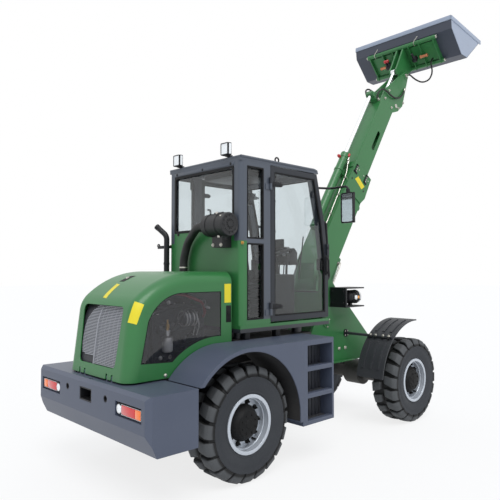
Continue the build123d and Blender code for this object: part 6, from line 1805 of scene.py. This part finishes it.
# Inner boom: the sliding box and its head plates, with bolts at the head, a cross pin and the
# yoke that the extension rod pulls on.
HEAD_FACE_Y = 0.0952
HEAD_BOLTS = ((3.081, -0.199), (3.236, -0.247), (2.960, -0.060), (2.960, 0.130), (3.130, 0.110))
HEAD_BOLT_SIZE = 0.026
CROSS_PIN = (3.060, -0.130)
ROD_NUT = (2.888, 0.318, 0)
YOKE_PIN = (2.863, 0.318, 0.045)
TILT_BOSS = (3.640, -0.090, 0.0948)
TILT_BOSS_RING = ((0, 0.033), (0, 0.060), (0.004, 0.060), (0.006, 0.055), (0.006, 0.033))
head_bits = bmesh.new()
yoke = bmesh.new()
for hand in HANDS:
    sideways = (0, hand, 0)
    for u, w in HEAD_BOLTS:
        bolt(head_bits, on_boom(u, w, hand * HEAD_FACE_Y), sideways, HEAD_BOLT_SIZE)
    pin_place = on_boom(*CROSS_PIN, hand * HEAD_FACE_Y)
    button(head_bits, pin_place, sideways, 0.030, 0.008, 0.012, 0.022, 24, foot=-0.002)
    u, w, y = YOKE_PIN
    button(yoke, on_boom(u, w, hand * y), sideways, 0.034, 0.012, 0.016, 0.028, 28, foot=-0.001)
    u, w, y = TILT_BOSS
    lathe(yoke, on_boom(u, w, hand * y), sideways, TILT_BOSS_RING, 36, closed=True)
button(head_bits, on_boom(*ROD_NUT), BOOM_WAY, 0.030, 0.014, 0.018, 0.024, 24, foot=-0.001)
piece("head_bolts", head_bits, bright_zinc, "inner_boom")
piece("head_yoke", yoke, green_paint, "inner_boom")

# Cylinders: honed steel barrels in green with a screwed gland, and hard chromed rods. The
# extension cylinder lies on the boom, the lift cylinder stands under it.
CYLINDER_SEGMENTS = 40
LIFT_GLAND = (
    # along the cylinder from the gland's face, radius
    (-0.070, 0.0578), (-0.068, 0.063), (-0.006, 0.063), (0.0, 0.057), (0.0, 0.0335), (-0.02, 0.0335),
)
LIFT_HEAD = (1.297, -0.202, 0)
LIFT_GLAND_AT = 0.880
LIFT_BAND_AT = 0.130
LIFT_PORTS = (0.180, 0.800)
LIFT_PORT_OUT = 0.056
LIFT_PORT = ((0, 0), (0, 0.022), (0.016, 0.022), (0.018, 0.015), (0.040, 0.015), (0.040, 0))
LIFT_LINE = (
    # along the cylinder, out from its axis
    (0.800, 0.090), (0.760, 0.100), (0.260, 0.078), (0.180, 0.090),
)
TELE_HEIGHT = 0.318
TELE_GLAND = (
    # along the cylinder from the gland's face, radius
    (-0.080, 0.0518), (-0.078, 0.057), (-0.004, 0.057), (0.0, 0.050), (0.0, 0.0275), (-0.02, 0.0275),
)
TELE_GLAND_AT = 1.783
TELE_END = ((-0.012, 0), (-0.012, 0.046), (0.0, 0.056), (0.040, 0.056), (0.040, 0.0518))
TELE_END_AT = 0.603
TELE_BANDS = (0.665, 1.495)
rod_chrome = coated(
    "rod_chrome", srgb(226, 228, 230), 0.12, metallic=1.0, mottle=0.03, dust=0.02, grain_scale=600,
    relief=0.01)
dress(green_paint, "tele_barrel", "lift_barrel")
dress(rod_chrome, "tele_rod", "lift_rod", "tilt_rod", "steer_rod")
lift_foot = at(LIFT_BASE[0], 0, LIFT_BASE[1])
lift_way = (on_boom(*LIFT_HEAD) - lift_foot).normalized()
rightward = -LEFTWARD
gland = bmesh.new()
lathe(gland, lift_foot + lift_way * LIFT_GLAND_AT, lift_way, LIFT_GLAND, CYLINDER_SEGMENTS)
band(gland, lift_foot + lift_way * LIFT_BAND_AT, lift_way, 0.0578, 0.062, 0.030, CYLINDER_SEGMENTS)
piece("lift_gland", gland, green_paint, "lift_barrel")
gland = bmesh.new()
lathe(gland, on_boom(TELE_GLAND_AT, TELE_HEIGHT, 0), BOOM_WAY, TELE_GLAND, CYLINDER_SEGMENTS)
lathe(gland, on_boom(TELE_END_AT, TELE_HEIGHT, 0), BOOM_WAY, TELE_END, CYLINDER_SEGMENTS)
for u in TELE_BANDS:
    band(gland, on_boom(u, TELE_HEIGHT, 0), BOOM_WAY, 0.0518, 0.058, 0.030, CYLINDER_SEGMENTS)
piece("tele_gland", gland, green_paint, "outer_boom")
ports = bmesh.new()
for along in LIFT_PORTS:
    lathe(ports, lift_foot + lift_way * along + rightward * LIFT_PORT_OUT, rightward, LIFT_PORT, 16)
piece("lift_ports", ports, bright_zinc, "lift_barrel")
lines = bmesh.new()
tube(lines, [lift_foot + lift_way * along + rightward * out for along, out in LIFT_LINE], 0.010, 0.04)
piece("lift_line", lines, bright_zinc, "lift_barrel")

# Quick coupler: green plates and bars between boom and bucket, with bright pins, two locking
# levers at its upper edge, a copper coloured spring and hydraulic couplings.
TILT_PIN = (3.640, -0.090, 0.101)
BUCKET_PINS = ((4.024, 0.135), (3.941, -0.220))
BUCKET_PIN_Y = 0.560
LOCK_LEVERS_Y = (-0.230, 0.430)
LOCK_LEVER = ((4.000, 0.110, 0.0), (3.995, 0.170, 0.0), (4.030, 0.230, -0.090))
SPRINGS_Y = (-0.390, 0.270)
SPRING = (
    # along the spring, radius
    (0, 0), (0, 0.020), (0.012, 0.026), (0.020, 0.020), (0.100, 0.020), (0.108, 0.026), (0.120, 0.020),
    (0.120, 0),
)
COUPLINGS_Y = (-0.200, 0.200, 0.240)
COUPLING = ((0, 0), (0, 0.024), (0.040, 0.024), (0.046, 0.018), (0.090, 0.018), (0.090, 0))
VALVE_BLOCKS = (
    # low corner, high corner
    ((3.850, -0.060, 0.190), (3.930, 0.000, 0.270)),
    ((3.850, -0.060, -0.230), (3.930, 0.000, -0.170)),
)
CAPPED_Y = (0.200, 0.240)
copper = coated("copper", srgb(196, 128, 92), 0.35, metallic=0.7, mottle=0.12, dust=0.04)
dress(green_paint, "coupler")
bright = bmesh.new()
for hand in HANDS:
    sideways = (0, hand, 0)
    u, w, y = TILT_PIN
    button(bright, on_boom(u, w, hand * y), sideways, 0.029, 0.014, 0.018, 0.022, 28, foot=-0.001)
    for u, w in BUCKET_PINS:
        pin_place = on_boom(u, w, hand * BUCKET_PIN_Y)
        button(bright, pin_place, sideways, 0.022, 0.016, 0.020, 0.016, 24, foot=-0.001)
for side in LOCK_LEVERS_Y:
    tube(bright, [on_boom(u, w, side + y) for u, w, y in LOCK_LEVER], 0.005, 0.03)
piece("coupler_pins", bright, bright_zinc, "coupler")
springs = bmesh.new()
for y in SPRINGS_Y:
    lathe(springs, on_boom(3.915, -0.040, y), LEFTWARD, SPRING, 20)
piece("coupler_springs", springs, copper, "coupler")
couplings = bmesh.new()
for y in COUPLINGS_Y:
    lathe(couplings, on_boom(3.880, -0.020, y), BOOM_UP, COUPLING, 18)
for low, high in VALVE_BLOCKS:
    boom_brick(couplings, low, high, 0.006)
piece("coupler_valves", couplings, satin_black, "coupler")
caps = bmesh.new()
for y in CAPPED_Y:
    button(caps, on_boom(3.880, 0.068, y), BOOM_UP, 0.022, 0.026, 0.032, 0.014, 18)
piece("coupler_caps", caps, red_cap, "coupler")

# Bucket: rolled blue-grey plate with a folded back, a lighter wear bar along its upper edge
# and down both ends, and a cutting edge at the front. The wear bar's pale colour is partly a
# painted highlight, and thin plates of it over both ends are a painted highlight on their faces.
BUCKET_LINE = ((4.216, 0.265), (4.072, 0.152), (3.984, -0.246), (4.075, -0.395), (4.647, -0.581))
BUCKET_HALF = 0.790
END_BAR = ((0.010, 0.002), (0.985, 0.002), (0.985, 0.062), (0.010, 0.062))
END_BAR_THICK = 0.012
END_PLATE_INSET = 0.006
END_PLATE_THICK = 0.003
LIP_BAR = ((0.002, 0.0), (0.002, 0.009), (0.060, 0.009), (0.060, 0.0))
bucket_grey = coated(
    "bucket_grey", srgb(62, 67, 80), 0.45, coat=0.08, mottle=0.07, dust=0.06, grain_scale=240, edge=0.005)
# Pale partly as a painted highlight, which it also paints on the bucket's ends.
wear_bar_and_highlight = coated("wear_bar_and_highlight", srgb(164, 174, 191), 0.45, mottle=0.06, dust=0.03, grain_scale=260)
dress(bucket_grey, "bucket")


def bucket_point(share, depth, side):
    """Point of the bucket's open edge, by its share from the upper lip and its depth behind the edge."""
    (u0, w0), (u1, w1) = BUCKET_LINE[0], BUCKET_LINE[-1]
    run = math.hypot(u1 - u0, w1 - w0)
    inward = ((w1 - w0) / run, -(u1 - u0) / run)
    u = u0 + (u1 - u0) * share + inward[0] * depth
    w = w0 + (w1 - w0) * share + inward[1] * depth
    return on_boom(u, w, side)


bars = bmesh.new()
ends = bmesh.new()
for hand in HANDS:
    bar_loop = [bucket_point(share, depth, hand * BUCKET_HALF) for share, depth in END_BAR]
    slab(bars, bar_loop, (0, hand * END_BAR_THICK, 0), 0.003)
    # Thin pale plates over each end are a painted highlight.
    outline = BUCKET_LINE[::-1] if hand > 0 else BUCKET_LINE
    highlight_loop = [on_boom(u, w, hand * (BUCKET_HALF + 0.0002)) for u, w in outline]
    highlight_loop = inset_loop(highlight_loop, Vector((0, hand, 0)), END_PLATE_INSET)
    slab(ends, highlight_loop, (0, hand * END_PLATE_THICK, 0))
piece("bucket_bars", bars, wear_bar_and_highlight, "coupler")
piece("bucket_end_highlights", ends, wear_bar_and_highlight, "coupler")
lip = bmesh.new()
(lip_u, lip_w), (fold_u, fold_w) = BUCKET_LINE[:2]
lip_run = math.hypot(fold_u - lip_u, fold_w - lip_w)
lip_way = ((fold_u - lip_u) / lip_run, (fold_w - lip_w) / lip_run)
lip_out = (lip_way[1], -lip_way[0])
lip_line = []
for along, out in LIP_BAR:
    u = lip_u + lip_way[0] * along + lip_out[0] * out
    w = lip_w + lip_way[1] * along + lip_out[1] * out
    lip_line.append((u, w))
loft(lip, [[on_boom(u, w, side) for u, w in lip_line] for side in (-BUCKET_HALF, BUCKET_HALF)], 0.002)
piece("bucket_lip", lip, wear_bar_and_highlight, "coupler")

# Hoses: rubber hydraulic hose with crimped zinc ends, two at the boom's head and one from
# the head to the coupler. The steering cylinder lies low between the two frames.
FERRULE = (
    # along the hose from its end, radius
    (0.001, 0.0112), (0.001, 0.0165), (0.012, 0.0165), (0.014, 0.0150), (0.046, 0.0150), (0.046, 0.0112),
)
HOSE_ENDS = (
    # body, along the boom, height, y, way along the hose
    ("inner_boom", 2.860, 0.198, -0.070, BOOM_UP),
    ("inner_boom", 2.870, 0.198, 0.072, BOOM_UP),
    ("inner_boom", 3.040, 0.190, 0.0825, BOOM_UP),
    ("inner_boom", 3.434, -0.163, -0.111, -BOOM_WAY),
    ("coupler", 3.640, -0.090, -0.101, -LEFTWARD),
)
dress(hose_black, "boom_hoses", "coupler_hose")
dress(satin_black, "steer_barrel")
for body in ("inner_boom", "coupler"):
    ferrules = bmesh.new()
    for owner, u, w, y, way in HOSE_ENDS:
        if owner == body:
            lathe(ferrules, on_boom(u, w, y), way, FERRULE, 18, closed=True)
    piece(f"hose_ferrules_{body}", ferrules, bright_zinc, body)
